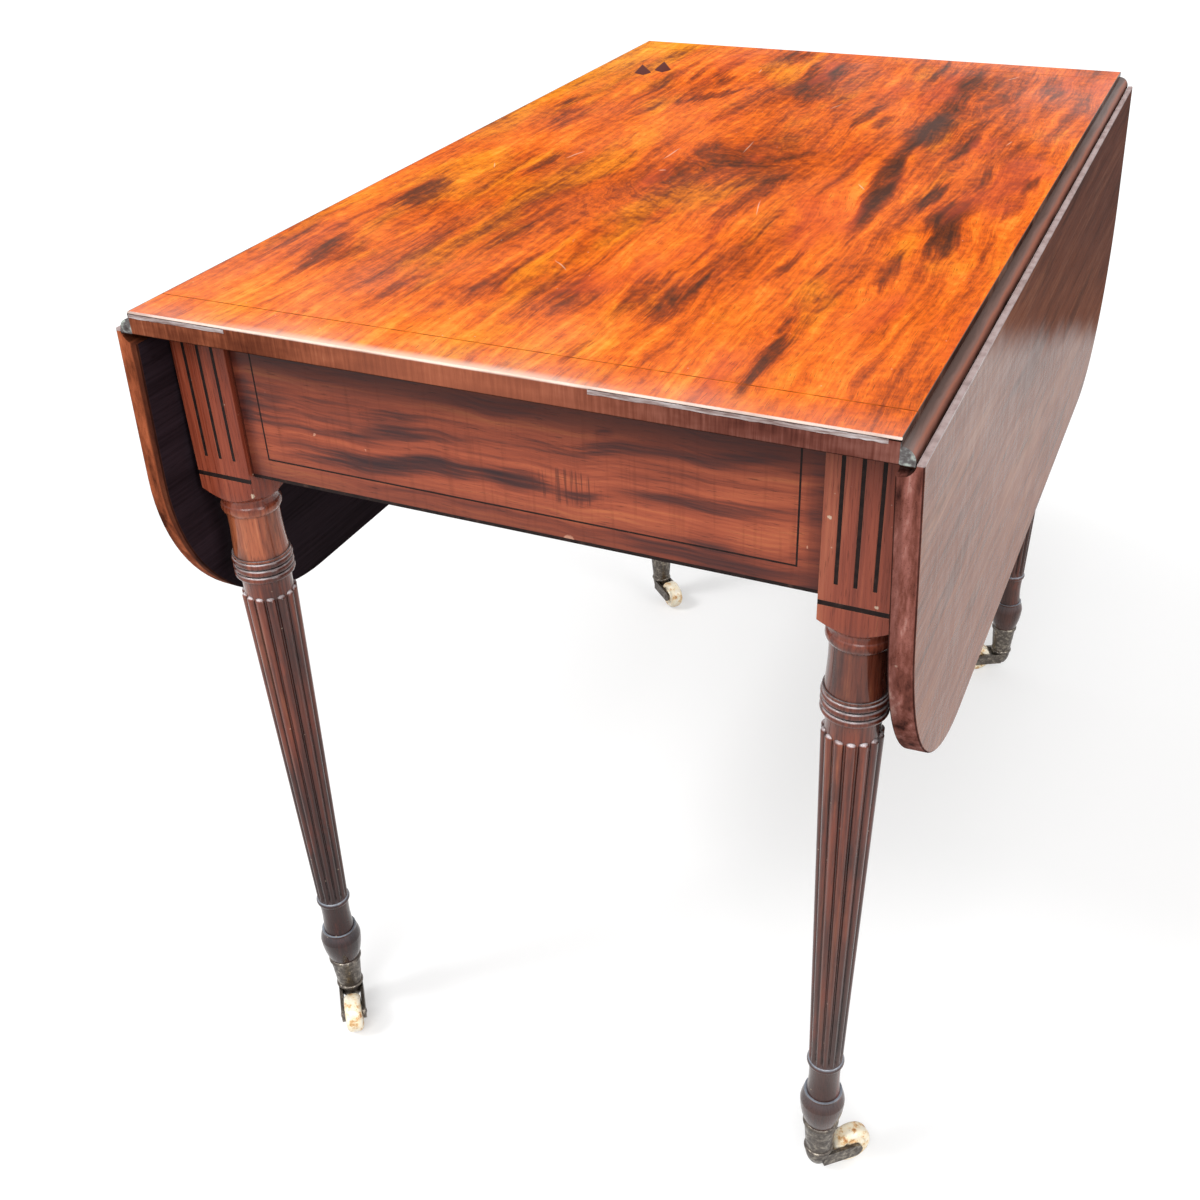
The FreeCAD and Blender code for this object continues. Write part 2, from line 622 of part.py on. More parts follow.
def drawer_runners():
    """Runner with its guide on each side, between the end rails."""
    runners = []
    for side in (-1, 1):
        bearing = block(
            (side * (OPENING_X - RUNNER_BEARING), side * POST_INNER_X), both(RAIL_BACK_Y),
            (RAIL_FOOT_Z, OPENING_FOOT_Z)
        )
        guide = block(
            (side * OPENING_X, side * POST_INNER_X), both(RAIL_BACK_Y),
            (OPENING_FOOT_Z, OPENING_FOOT_Z + GUIDE_HEIGHT)
        )
        runners.append(bearing.fuse(guide).removeSplitter())
    return runners


def drawer_kickers():
    """Strips above the drawer sides that keep the drawer level when it is pulled out."""
    z = (DRAWER_SIDE_TOP_Z + KICKER_GAP, UNDERSIDE_Z)
    x = (OPENING_X - RUNNER_BEARING, POST_INNER_X)
    return [block((side * x[0], side * x[1]), both(RAIL_BACK_Y), z) for side in (-1, 1)]


def drawer_stops():
    """Blocks on the runners behind the closed drawer."""
    y = (DRAWER_BACK_Y - DRAWER_RIDE - STOP_LENGTH, DRAWER_BACK_Y - DRAWER_RIDE)
    x = (OPENING_X - RUNNER_BEARING, OPENING_X)
    z = (OPENING_FOOT_Z, OPENING_FOOT_Z + STOP_HEIGHT)
    return [block((side * x[0], side * x[1]), y, z) for side in (-1, 1)]


def drawer_bottom():
    """Thin panel in the grooves of the front and the sides."""
    half = DRAWER_X - DRAWER_SIDE_THICKNESS + GROOVE_DEPTH
    return block(both(half), (DRAWER_BACK_Y, RAIL_BACK_Y + GROOVE_DEPTH), (DRAWER_BOTTOM_Z, DRAWER_FLOOR_Z))


def drawer_back():
    """Back of the drawer, housed in the sides and resting on the bottom."""
    half = DRAWER_X - DRAWER_SIDE_THICKNESS + GROOVE_DEPTH
    z = (DRAWER_FLOOR_Z, DRAWER_SIDE_TOP_Z - DRAWER_BACK_DROP)
    return block(both(half), (DRAWER_BACK_Y, DRAWER_BACK_Y + DRAWER_BACK_THICKNESS), z)


def drawer_side():
    """Drawer side at +X, with lapped dovetails into the front."""
    inner = DRAWER_X - DRAWER_SIDE_THICKNESS
    end = RAIL_FACE_Y - TAIL_LAP
    pitch = (DRAWER_SIDE_TOP_Z - DRAWER_FOOT_Z) / TAIL_COUNT
    side = block((inner, DRAWER_X), (DRAWER_BACK_Y, RAIL_BACK_Y), (DRAWER_FOOT_Z, DRAWER_SIDE_TOP_Z))
    tails = []
    for index in range(TAIL_COUNT):
        middle = DRAWER_FOOT_Z + (index + 0.5) * pitch
        neck = TAIL_NECK * pitch / 2
        wide = TAIL_END * pitch / 2
        corners = [
            V(inner, RAIL_BACK_Y, middle - neck),
            V(inner, end, middle - wide),
            V(inner, end, middle + wide),
            V(inner, RAIL_BACK_Y, middle + neck),
        ]
        tails.append(outline_face(corners).extrude(V(DRAWER_SIDE_THICKNESS, 0, 0)))
    return side.multiFuse(tails).removeSplitter().cut([drawer_bottom(), drawer_back()])


def drawer_front():
    """Drawer front with sockets for the tails, a groove for the bottom and holes for the knobs."""
    front = block(both(DRAWER_X), (RAIL_BACK_Y, RAIL_FACE_Y), (DRAWER_FOOT_Z, DRAWER_TOP_Z))
    right = drawer_side()
    return front.cut([right, mirrored(right), drawer_bottom()] + drawer_knobs())


def drawer_knobs():
    """Two turned wooden knobs, each with a spigot through the drawer front."""
    stations = [
        (KNOB_SPIGOT_RADIUS, -END_RAIL_THICKNESS),
        (KNOB_SPIGOT_RADIUS, 0),
        (KNOB_BASE_RADIUS, 0),
        (KNOB_BASE_RADIUS, KNOB_BASE_HEIGHT),
        (KNOB_NECK_RADIUS, KNOB_NECK_HEIGHT, KNOB_RADIUS, KNOB_CREST_HEIGHT),
        dome(KNOB_RADIUS, KNOB_CREST_HEIGHT, KNOB_PROJECTION - KNOB_CREST_HEIGHT) + (0, KNOB_PROJECTION),
    ]
    knob = turned(stations).rotated(ORIGIN, V(1, 0, 0), -90)
    middle_z = (DRAWER_FOOT_Z + DRAWER_TOP_Z) / 2
    knob_x = DRAWER_X - KNOB_INSET
    return [knob.translated(V(side * knob_x, RAIL_FACE_Y, middle_z)) for side in (-1, 1)]


def end_stringing(end):
    """Dark lines of one end: the panel line of the plain end, and the lower arris of both ends."""
    face = end * RAIL_FACE_Y
    arris_y = (face, face - end * ARRIS_STRING_SIZE)
    arris = block(both(POST_INNER_X), arris_y, (RAIL_FOOT_Z, RAIL_FOOT_Z + ARRIS_STRING_SIZE))
    if end > 0:
        return [arris]
    depth = (face, face - end * STRING_DEPTH)
    panel = block(both(OPENING_X), depth, (OPENING_FOOT_Z, OPENING_TOP_Z))
    field_z = (OPENING_FOOT_Z + PANEL_STRING_WIDTH, OPENING_TOP_Z - PANEL_STRING_WIDTH)
    field = block(both(OPENING_X - PANEL_STRING_WIDTH), depth, field_z)
    return [panel.cut(field), arris]


def post_stringing():
    """Dark upright lines and cross band let into the end face of each post."""
    lines = []
    for _, side, end, _ in LEGS:
        depth = (end * POST_END_Y, end * (POST_END_Y - STRING_DEPTH))
        for index in range(POST_STRING_COUNT):
            x = side * LEG_X + POST_STRING_PITCH * (index - (POST_STRING_COUNT - 1) / 2)
            width = (x - POST_STRING_WIDTH / 2, x + POST_STRING_WIDTH / 2)
            lines.append(block(width, depth, (POST_FOOT_Z + POST_STRING_START, UNDERSIDE_Z)))
        band_x = (side * POST_INNER_X, side * POST_OUTER_X)
        band_foot = POST_FOOT_Z + POST_BAND_START
        lines.append(block(band_x, depth, (band_foot, band_foot + POST_BAND_HEIGHT)))
    return lines


def leg_turning():
    """Everything turned on the lathe, on the leg's own axis."""
    stations = [
        (POST_SIZE / 2, POST_FOOT_Z),
        (SHOULDER_RADIUS, (POST_FOOT_Z + BEAD_TOP_Z) / 2, SHOULDER_RADIUS, BEAD_TOP_Z),
        bead(BEAD_RADIUS, DRUM_TOP_RADIUS, BEAD_TOP_Z, DRUM_TOP_Z),
        (DRUM_WAIST_RADIUS, (DRUM_TOP_Z + DRUM_FOOT_Z) / 2, DRUM_FOOT_RADIUS, DRUM_FOOT_Z),
        (RING_FILLET_RADIUS, DRUM_FOOT_Z),
        (RING_FILLET_RADIUS, RINGS_TOP_Z),
        (RING_QUIRK_RADIUS, RINGS_TOP_Z),
    ]
    for index in range(RING_COUNT):
        start = RINGS_TOP_Z - index * RING_HEIGHT
        stations.append(bead(RING_RADIUS, RING_QUIRK_RADIUS, start, start - RING_HEIGHT))
    core_top, core_foot = reed_core()
    flare_z = REED_FOOT_Z + REED_FLARE
    share = REED_FLARE / (NECK_FOOT_Z - REED_FOOT_Z)
    flare_radius = core_foot + share * (core_top - core_foot)
    bulb_crest_z = CUP_RIM_Z + BULB_RISE
    stations += [
        (NECK_TOP_RADIUS, NECK_TOP_Z),
        (NECK_RADIUS, (NECK_TOP_Z + NECK_FOOT_Z) / 2, NECK_RADIUS, NECK_FOOT_Z),
        (core_top, NECK_FOOT_Z),
        (flare_radius, flare_z),
        (core_foot, REED_FOOT_Z + REED_FLARE / 2, REED_FOOT_RADIUS, REED_FOOT_Z),
        bead(ANKLE_RING_RADIUS, ANKLE_TOP_RADIUS, REED_FOOT_Z, ANKLE_TOP_Z),
        (ANKLE_WAIST_RADIUS, (ANKLE_TOP_Z + ANKLE_FOOT_Z) / 2, ANKLE_FOOT_RADIUS, ANKLE_FOOT_Z),
        (BULB_FILLET_RADIUS, ANKLE_FOOT_Z),
        (BULB_FILLET_RADIUS, BULB_TOP_Z),
        (BULB_SHOULDER_RADIUS, (BULB_TOP_Z + bulb_crest_z) / 2, BULB_RADIUS, bulb_crest_z),
        (BULB_SWELL_RADIUS, (bulb_crest_z + CUP_RIM_Z) / 2, CUP_TOP_RADIUS, CUP_RIM_Z),
        (CUP_TOP_RADIUS - CUP_WALL - CUP_WALL_PLAY, CUP_RIM_Z),
        (CUP_FOOT_RADIUS - CUP_WALL - CUP_WALL_PLAY, CUP_FOOT + CUP_FLOOR + SPIGOT_GAP),
    ]
    return turned(stations)


def reed_size(crest):
    """Centre distance and radius of a reed whose crest lies at the given radius."""
    width = REED_FILL * math.sin(math.pi / REED_COUNT)
    centre = crest / (1 + width)
    return centre, centre * width


def reed_core():
    """Radius of the groove floors at the head and the foot of the reeds."""
    sizes = [reed_size(REED_TOP_RADIUS), reed_size(REED_FOOT_RADIUS)]
    return [centre + REED_SINK * radius for centre, radius in sizes]


def reeds():
    """The ring of tapered reeds with rounded heads, leaning in towards the foot."""
    head_centre, head = reed_size(REED_TOP_RADIUS)
    foot_centre, foot = reed_size(REED_FOOT_RADIUS)
    crown = REED_CROWN * head
    start = REED_FOOT_Z - REED_FOOT_SINK
    run = NECK_FOOT_Z - crown - start
    lean = math.degrees(math.atan2(head_centre - foot_centre, run))
    length = math.hypot(run, head_centre - foot_centre)
    stations = [
        (foot, 0),
        (head, length),
        dome(head, length, crown) + (0, length + crown),
    ]
    reed = turned(stations).rotated(ORIGIN, ALONG, lean).translated(V(foot_centre, 0, start))
    return [reed.rotated(ORIGIN, UP, index * 360 / REED_COUNT) for index in range(REED_COUNT)]


def leg_blank():
    """Leg on its own axis, before mortises and inlay: square post, turning and reeds in one piece of wood."""
    half = POST_SIZE / 2
    post = block(both(half), both(half), (POST_FOOT_Z, UNDERSIDE_Z))
    steepness = POST_CORNER_RISE / (half * math.sqrt(2) - half)
    envelope = [
        (half, POST_FOOT_Z),
        (POST_SIZE, POST_FOOT_Z + steepness * half),
        (POST_SIZE, UNDERSIDE_Z),
    ]
    post = post.common(turned(envelope))
    return leg_turning().multiFuse(reeds() + [post])


def castor_cup():
    """Brass cup on the foot of a leg, on the leg's own axis."""
    rim_foot = CUP_RIM_Z - CUP_RIM_HEIGHT
    ring_top = CUP_FOOT + CUP_RING_HEIGHT
    stations = [
        (CUP_TOP_RADIUS, CUP_RIM_Z),
        bead(CUP_RIM_RADIUS, CUP_TOP_RADIUS, CUP_RIM_Z, rim_foot),
        (CUP_FOOT_RADIUS, ring_top),
        bead(CUP_RING_RADIUS, CUP_FOOT_RADIUS, ring_top, CUP_FOOT),
    ]
    hollow = [
        (CUP_TOP_RADIUS - CUP_WALL, CUP_RIM_Z),
        (CUP_FOOT_RADIUS - CUP_WALL, CUP_FOOT + CUP_FLOOR),
    ]
    bore = rod(SWIVEL_RADIUS, V(0, 0, CUP_FOOT), V(0, 0, CUP_FOOT + CUP_FLOOR))
    return turned(stations).cut([turned(hollow), bore])


def swivel_pin():
    """Pin riveted over the cup's floor, with a head that carries the horn."""
    floor = CUP_FOOT + CUP_FLOOR
    stations = [
        (SWIVEL_HEAD_RADIUS, floor + SWIVEL_HEAD_HEIGHT),
        (SWIVEL_HEAD_RADIUS, floor),
        (SWIVEL_RADIUS, floor),
        (SWIVEL_RADIUS, BOSS_FOOT + SWIVEL_HEAD_HEIGHT),
        (SWIVEL_HEAD_RADIUS, BOSS_FOOT + SWIVEL_HEAD_HEIGHT),
        (SWIVEL_HEAD_RADIUS, BOSS_FOOT),
    ]
    return turned(stations)


def castor_horn():
    """Horn of a castor, trailing along +X: boss round the swivel pin and two cheeks for the wheel."""
    boss = turned([
        (BOSS_TOP_RADIUS, BOSS_TOP),
        (BOSS_SWELL_RADIUS, (BOSS_TOP + BOSS_FOOT) / 2, BOSS_FOOT_RADIUS, BOSS_FOOT),
    ])
    lean = math.asin((BOSS_TOP - WHEEL_RADIUS - CHEEK_END_RADIUS) / CASTOR_TRAIL)
    top = V(CASTOR_TRAIL + CHEEK_END_RADIUS * math.sin(lean), CHEEK_INNER,
            WHEEL_RADIUS + CHEEK_END_RADIUS * math.cos(lean))
    nose = V(CASTOR_TRAIL + CHEEK_END_RADIUS, CHEEK_INNER, WHEEL_RADIUS)
    foot = V(CASTOR_TRAIL, CHEEK_INNER, WHEEL_RADIUS - CHEEK_END_RADIUS)
    steps = [
        V(0, CHEEK_INNER, BOSS_FOOT + SWIVEL_HEAD_HEIGHT),
        V(0, CHEEK_INNER, BOSS_TOP),
        top,
        (nose, foot),
    ]
    cheek = outline_face(steps).extrude(V(0, CHEEK_THICKNESS, 0))
    space = rod(
        WHEEL_RADIUS + WHEEL_RIM_PLAY, V(CASTOR_TRAIL, -CHEEK_INNER, WHEEL_RADIUS),
        V(CASTOR_TRAIL, CHEEK_INNER, WHEEL_RADIUS)
    )
    pin_space = rod(SWIVEL_RADIUS + PIN_PLAY, V(0, 0, BOSS_FOOT), V(0, 0, BOSS_TOP))
    head_space = rod(
        SWIVEL_HEAD_RADIUS + CUP_HORN_GAP, V(0, 0, BOSS_FOOT),
        V(0, 0, BOSS_FOOT + SWIVEL_HEAD_HEIGHT + CUP_HORN_GAP)
    )
    horn = boss.multiFuse([cheek, cheek.mirror(ORIGIN, ALONG)]).cut([space, pin_space, head_space])
    return horn.cut(axle_space()).removeSplitter()


def axle_space():
    """Hole for the axle through both cheeks."""
    across = V(0, CHEEK_OUTER, 0)
    middle = V(CASTOR_TRAIL, 0, WHEEL_RADIUS)
    return rod(AXLE_RADIUS + PIN_PLAY, middle - across, middle + across)


def axle():
    """Axle riveted across the cheeks, with a low round head on each side."""
    end = CHEEK_OUTER + AXLE_HEAD_HEIGHT
    stations = [
        (0, -end),
        dome(AXLE_HEAD_RADIUS, -CHEEK_OUTER, -AXLE_HEAD_HEIGHT) + (AXLE_HEAD_RADIUS, -CHEEK_OUTER),
        (AXLE_RADIUS, -CHEEK_OUTER),
        (AXLE_RADIUS, CHEEK_OUTER),
        (AXLE_HEAD_RADIUS, CHEEK_OUTER),
        dome(AXLE_HEAD_RADIUS, CHEEK_OUTER, AXLE_HEAD_HEIGHT) + (0, end),
    ]
    return turned(stations).rotated(ORIGIN, V(1, 0, 0), 90).translated(V(CASTOR_TRAIL, 0, WHEEL_RADIUS))


def castor_wheel():
    """Ceramic wheel with a rounded tread, dished sides and a plain bore."""
    half = WHEEL_WIDTH / 2
    tread = half - WHEEL_SHOULDER
    corner = WHEEL_SHOULDER * (1 - math.sqrt(0.5))
    floor = half - WHEEL_DISH
    side = [
        (AXLE_RADIUS + PIN_PLAY, half),
        (WHEEL_HUB_RADIUS, half),
        (WHEEL_HUB_RADIUS + WHEEL_DISH, floor),
        (WHEEL_DISH_RADIUS - WHEEL_DISH, floor),
        (WHEEL_DISH_RADIUS, half),
        (WHEEL_RADIUS - WHEEL_SHOULDER, half),
        (WHEEL_RADIUS - corner, half - corner, WHEEL_RADIUS, tread),
        (WHEEL_RADIUS, 0),
    ]
    half_wheel = turned(side).cut(rod(AXLE_RADIUS + PIN_PLAY, ORIGIN, V(0, 0, half)))
    wheel = half_wheel.fuse(half_wheel.mirror(ORIGIN, UP)).removeSplitter()
    return wheel.rotated(ORIGIN, V(1, 0, 0), 90).translated(V(CASTOR_TRAIL, 0, WHEEL_RADIUS))


def save(node, shape):
    """Write one node; a list of solids is a group."""
    if isinstance(shape, list):
        shape = Part.makeCompound(shape)
    shape.exportStep("parts/%s.step" % node)
    good = "" if shape.isValid() else "  not valid"
    print("%-28s %2d solids %12.1f mm3%s" % (node, len(shape.Solids), shape.Volume, good))


def save_top_and_leaves():
    save("top_board", top_board())
    save("top_stringing", top_stringing())
    flat_leaf = leaf()
    top_flaps = [hinge_flap(y, -HINGE_TOP_FLAP, 0) for y in hinge_places()]
    leaf_flaps = [hung(hinge_flap(y, HINGE_LEAF_FLAP, 1)) for y in hinge_places()]
    leaf_screws = [hung(model) for model in hinge_screws(HINGE_LEAF_FLAP)]
    for name, side in SIDES:
        save("leaf_" + name, on_side(hung(flat_leaf), side))
        save("hinge_flaps_top_" + name, [on_side(flap, side) for flap in top_flaps])
        save("hinge_flaps_leaf_" + name, [on_side(flap, side) for flap in leaf_flaps])
        save("hinge_screws_leaf_" + name, [on_side(model, side) for model in leaf_screws])
    pins = hinge_pins()
    save("hinge_pins", pins + [mirrored(pin) for pin in pins])
    screws = hinge_screws(-HINGE_TOP_FLAP)
    save("hinge_screws_top", screws + [mirrored(model) for model in screws])
    save("top_fixing_screws", top_fixing_screws())


def save_frame():
    front = end_rail_front()
    lower = drawer_rail(RAIL_FOOT_Z, OPENING_FOOT_Z).cut(end_stringing(1))
    upper = drawer_rail(OPENING_TOP_Z, UNDERSIDE_Z)
    right = side_rail()
    rails = {"end_rail_front": front, "drawer_rail_lower": lower, "drawer_rail_upper": upper,
             "side_rail_right": right, "side_rail_left": mirrored(right)}
    for node, rail in rails.items():
        save(node, rail)
    save("rear_stiles", rear_stiles())
    save("post_stringing", post_stringing())
    save("end_stringing", end_stringing(-1) + end_stringing(1))
    blank = leg_blank()
    cuts = list(rails.values()) + post_stringing()
    for name, side, end, _ in LEGS:
        save("leg_" + name, blank.translated(V(side * LEG_X, end * LEG_Y, 0)).cut(cuts))


def save_fly_rails():
    bracket = fly_bracket()
    pieces = fly_rail()
    pins = lengthwise([fly_pin()])
    for name, side in SIDES:
        save("fly_rail_" + name, [on_side(piece, side) for piece in pieces])
        for end, model in zip(("rear", "front"), lengthwise([bracket])):
            save("fly_bracket_%s_%s" % (end, name), on_side(model, side))
    save("fly_pins", pins + [mirrored(pin) for pin in pins])


def save_drawer():
    right = drawer_side()
    save("drawer_front", drawer_front())
    save("drawer_side_right", right)
    save("drawer_side_left", mirrored(right))
    save("drawer_back", drawer_back())
    save("drawer_bottom", drawer_bottom())
    save("drawer_knobs", drawer_knobs())
    save("drawer_runners", drawer_runners())
    save("drawer_kickers", drawer_kickers())
    save("drawer_stops", drawer_stops())


def save_castors():
    moving = {"castor_horn": castor_horn(), "castor_axle": axle(), "castor_wheel": castor_wheel()}
    cup = castor_cup()
    pin = swivel_pin()
    places = [V(side * LEG_X, end * LEG_Y, 0) for _, side, end, _ in LEGS]
    for (name, _, _, trail), place in zip(LEGS, places):
        save("castor_cup_" + name, cup.translated(place))
        for node, model in moving.items():
            save("%s_%s" % (node, name), model.rotated(ORIGIN, UP, trail).translated(place))
    save("castor_swivel_pins", [pin.translated(place) for place in places])


os.makedirs("parts", exist_ok=True)
save_top_and_leaves()
save_frame()
save_fly_rails()
save_drawer()
save_castors()
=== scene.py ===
import math
import random
from collections import namedtuple

import bpy
from mathutils import Matrix, Vector


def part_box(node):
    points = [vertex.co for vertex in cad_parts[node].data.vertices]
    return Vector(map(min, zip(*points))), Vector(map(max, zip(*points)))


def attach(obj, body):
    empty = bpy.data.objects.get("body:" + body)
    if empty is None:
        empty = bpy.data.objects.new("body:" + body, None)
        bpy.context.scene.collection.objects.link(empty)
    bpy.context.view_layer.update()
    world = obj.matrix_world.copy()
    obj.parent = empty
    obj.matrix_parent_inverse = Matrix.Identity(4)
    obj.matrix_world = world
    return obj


# A pembroke table in old mahogany: figured top, dark leaves, reeded legs, brass castors, ceramic wheels.
# Metres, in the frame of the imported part: +Z up, +X across the table, +Y along it to the drawer end.
# Colours are six-digit screen colours. A list of tones is a colour ramp, as pairs of place and colour.

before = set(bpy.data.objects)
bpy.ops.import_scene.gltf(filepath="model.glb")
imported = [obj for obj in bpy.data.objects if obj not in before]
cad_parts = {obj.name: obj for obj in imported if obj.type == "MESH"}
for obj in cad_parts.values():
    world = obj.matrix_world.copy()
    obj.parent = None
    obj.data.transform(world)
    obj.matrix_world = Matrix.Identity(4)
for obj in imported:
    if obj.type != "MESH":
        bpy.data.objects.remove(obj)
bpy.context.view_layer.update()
MM = 0.001

# Camera of the photograph
CAMERA_PLACE = Vector((0.3941, -1.0775, 1.0386))
CAMERA_YAW = math.radians(24.45)      # turned left from +Y
CAMERA_PITCH = math.radians(-33.81)
CAMERA_ROLL = math.radians(-1.64)
CAMERA_FOCUS = 1368.7                 # this and the centre are in pixels of the photograph
CAMERA_CENTRE = (636.7, 610.5)
PHOTO_SIZE = 1200.0
SENSOR = 36.0

# Lamps: direction to the source, spread in degrees, strength
LAMPS = {
    "key": ((-0.5, -0.45, 0.75), 30, 0.55),
    "gleam": ((-0.5, -0.45, 0.75), 12, 0.65),
    "front": ((0.15, -0.75, 0.72), 34, 1.55),
    "side": ((0.9, -0.3, 0.4), 30, 0.95),
}
SKY_LIGHT = 0.5                       # strength of the world as a light; it is seen at 1, which is white
WHITE = (1, 1, 1, 1)
FLOOR_BOUNCE = (0.45, 0.45, 0.45, 1)  # colour of the floor for the light that it throws back
FLOOR_SEEN = (0.9, 0.9, 0.9, 1)       # colour of the floor where it is seen
FLOOR_GLOW = 1.38
FLOOR_GLOW_SHARE = 0.28               # the glow keeps the floor pale, the rest of it keeps the shadow
FLOOR_REACH = 40.0

# Places read from the frame
TOP_LOW, TOP_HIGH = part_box("top_board")
RAIL_LOW, RAIL_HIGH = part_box("end_rail_front")
_, LEG_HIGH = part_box("leg_front_left")
_, STRING_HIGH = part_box("top_stringing")
LEAF_LOW, LEAF_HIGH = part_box("leaf_right")
JOINT_X = STRING_HIGH.x               # the two joint lines lie at both ends of the string
POST_X = -LEG_HIGH.x                  # inner faces of the posts
TOP_Z = TOP_HIGH.z
END_Y = TOP_HIGH.y

# Heights on a leg at which its look changes
LEG_FOOT, LEG_ANKLE, LEG_MIDDLE, LEG_REEDS = 0.1, 0.14, 0.3, 0.47
DRUM_FOOT, DRUM_TOP = 0.508, 0.546    # ends of the plain drum below the posts
LEFT_X, RIGHT_X = -0.1, 0.1           # the look changes between these from the left legs to the right ones
LEG_ROUNDING = 0.0008                 # radius to which the edges of a leg look rounded

# Soft borders: how far from an edge each one starts and ends
END_BORDER = (0.0016, 0.0008)         # flat face of the top to its end grain
SIDE_BORDER = (0.0008, 0.0003)        # flat face of the top to its moulded side
UNDERSIDE_BORDER = (0.0004, 0.0012)   # upwards from the underside of the top
ARRIS_IN, ARRIS_DOWN = (0.0022, 0.0012), (0.0016, 0.0006)
# Painted glare: a pale band along the near edge of the top, standing in for a highlight
GLARE_IN, GLARE_DOWN = (0.011, 0.001), (0.0008, 0.0004)
GLARE_START, GLARE_STOP = (-0.24, -0.1), (0.02, 0.12)       # along the edge, as x
HAZE_IN = 0.035                       # width of the hazy strip along the near edge
CRACK_IN = (0.002, 0.001)
CRACK_START, CRACK_STOP = (0.0009, 0.0013), (0.0018, 0.0022)  # down from the top
# Painted shadow of the top's overhang on the end rail
RAIL_SHADE = (0.046, 0.022)           # down from the upper edge of the end rail
# The rail is darker up from its lower edge over this height
RAIL_FOOT_DARK = 0.034               # up from its lower edge
# Painted shade on the rail beside the posts
POST_SHADE = 0.02                     # in from the posts
LEAF_LIP_WEAR_AND_HIGHLIGHT = (0.0018, 0.001)            # worn upper lip of a leaf, pale also from a painted highlight
FACE_START, FACE_FULL = 0.9, 0.97     # how squarely a surface of a leaf looks outwards to be its face

# Leaves
LEAF_LEAN = math.radians(2.5)         # a hanging leaf stands out from plumb by this angle
LEAF_EDGE_WEAR = 0.006                # how far the wear moves the border of the dark part of the edge
LEAF_EDGE_DIRTY = (0.0125, 0.0145)    # depth from the outer face, plus that wear, where the dark starts
SHADE_AND_DULL_SLOPE = 0.37                     # fall of the line of dulled polish and painted shade, to each metre along the leaf
SHADE_SPREAD = 0.12                    # the painted shade changes the colour over a band that is wider each way by this much
LEFT_EDGE_TONES = [(0.32, "4c2619"), (0.46, "8c4a30"), (0.58, "ac5e3e"), (0.7, "c87e58")]
# The right edge's tones are greyed by a painted reflection
RIGHT_EDGE_TONES = [(0.32, "3e221e"), (0.46, "78463c"), (0.58, "9c645a"), (0.7, "c49a8e")]
# For each leaf: its side of the table, the tones and dirt of its edge, and the heights, halfway along it,
# between which the polish dulls and the colour turns from a painted reflection to painted shade
LEAVES = {
    "leaf_left": (-1.0, LEFT_EDGE_TONES, 0.75, 0.3, 0.7),
    "leaf_right": (1.0, RIGHT_EDGE_TONES, 0.25, 0.592, 0.642),
}

# Lifted strips of lipping on the plain end of the top: from x to x, in mm
LIPS = {"lip_left": (-256, -180), "lip_right": (75, 250)}
LIP_DROP = 0.0015                     # top of a strip below the top of the table
LIP_HEIGHT = 0.0026
LIP_PROUD = 0.0005
LIP_STEP = 0.004
LIP_WAVER = 0.0001
LIP_FADE = 0.001                      # the crack above a strip fades over this length at its inner end
LIP_SEED = 4

# Dark streaks in the figure of the top, in mm: x, y, half width, half length, turn in degrees, depth
TOP_STREAKS = [
    (128, 157, 26, 70, 0, 1.1), (131, -10, 12, 160, 5, 1.6), (118, -220, 5, 55, -5, 1.0),
    (171, 114, 8, 52, -4, 1.1), (178, -25, 9, 46, 0, 1.0), (205, -90, 13, 82, 0, 1.2),
    (194, -75, 7, 50, 0, 0.8), (214, -125, 6, 50, 0, 0.8), (187, -195, 7, 48, 0, 1.0),
    (203, 33, 6, 46, 0, 0.8), (240, 27, 9, 32, 0, 1.1), (240, -35, 7, 50, 0, 0.9),
    (237, -130, 5, 60, 0, 0.7), (159, -362, 11, 60, 0, 1.1), (153, -306, 5, 26, 0, 0.7),
    (131, 280, 17, 140, 0, 0.7), (121, 367, 14, 75, 0, 0.7), (87, 380, 9, 68, 0, 0.8),
    (203, 349, 17, 62, 0, 0.6), (175, 349, 9, 70, 0, 0.5), (237, 250, 9, 120, -3, 0.6),
    (65, 185, 10, 58, 0, 1.0), (82, 180, 7, 34, 0, 0.9), (-7, 361, 18, 56, 0, 0.8),
    (-13, 293, 36, 95, 6, 0.7), (-41, 355, 7, 46, 0, 0.7), (-122, 336, 9, 56, 0, 0.8),
    (-141, 311, 7, 66, 0, 0.7), (-160, 324, 6, 56, 0, 0.6), (-107, 280, 12, 36, 0, 0.8),
    (-100, 220, 12, 62, -31, 0.8), (-167, 256, 8, 66, 0, 0.6), (-198, 101, 17, 82, 0, 0.7),
    (-220, 163, 5, 26, 0, 0.7), (-204, -146, 19, 50, 0, 1.1), (-185, -195, 22, 70, 0, 0.55),
    (-195, -294, 26, 52, 0, 0.65), (-238, -276, 6, 46, 0, 0.7), (-103, -130, 12, 58, -8, 0.2),
    (-95, -200, 26, 70, 0, 0.2), (56, -294, 30, 58, 18, 0.75), (-7, -306, 34, 68, 0, 0.5),
    (-57, -306, 16, 56, 0, 0.5), (-107, -337, 16, 46, 0, 0.55), (43, -380, 7, 26, 0, 0.6),
    (77, -270, 5, 30, 0, 0.8), (146, -201, 4, 36, 0, 0.6), (56, -201, 4, 36, 0, 0.6),
    (-135, 120, 9, 80, 3, 0.45), (-60, 170, 8, 70, 0, 0.45), (95, -390, 9, 46, 0, 0.5),
    (-150, -35, 8, 48, 0, 0.7), (100, 20, 5, 70, 0, 0.45), (-70, 400, 30, 40, 0, 0.45),
    (220, -330, 6, 90, 0, 0.5),
]
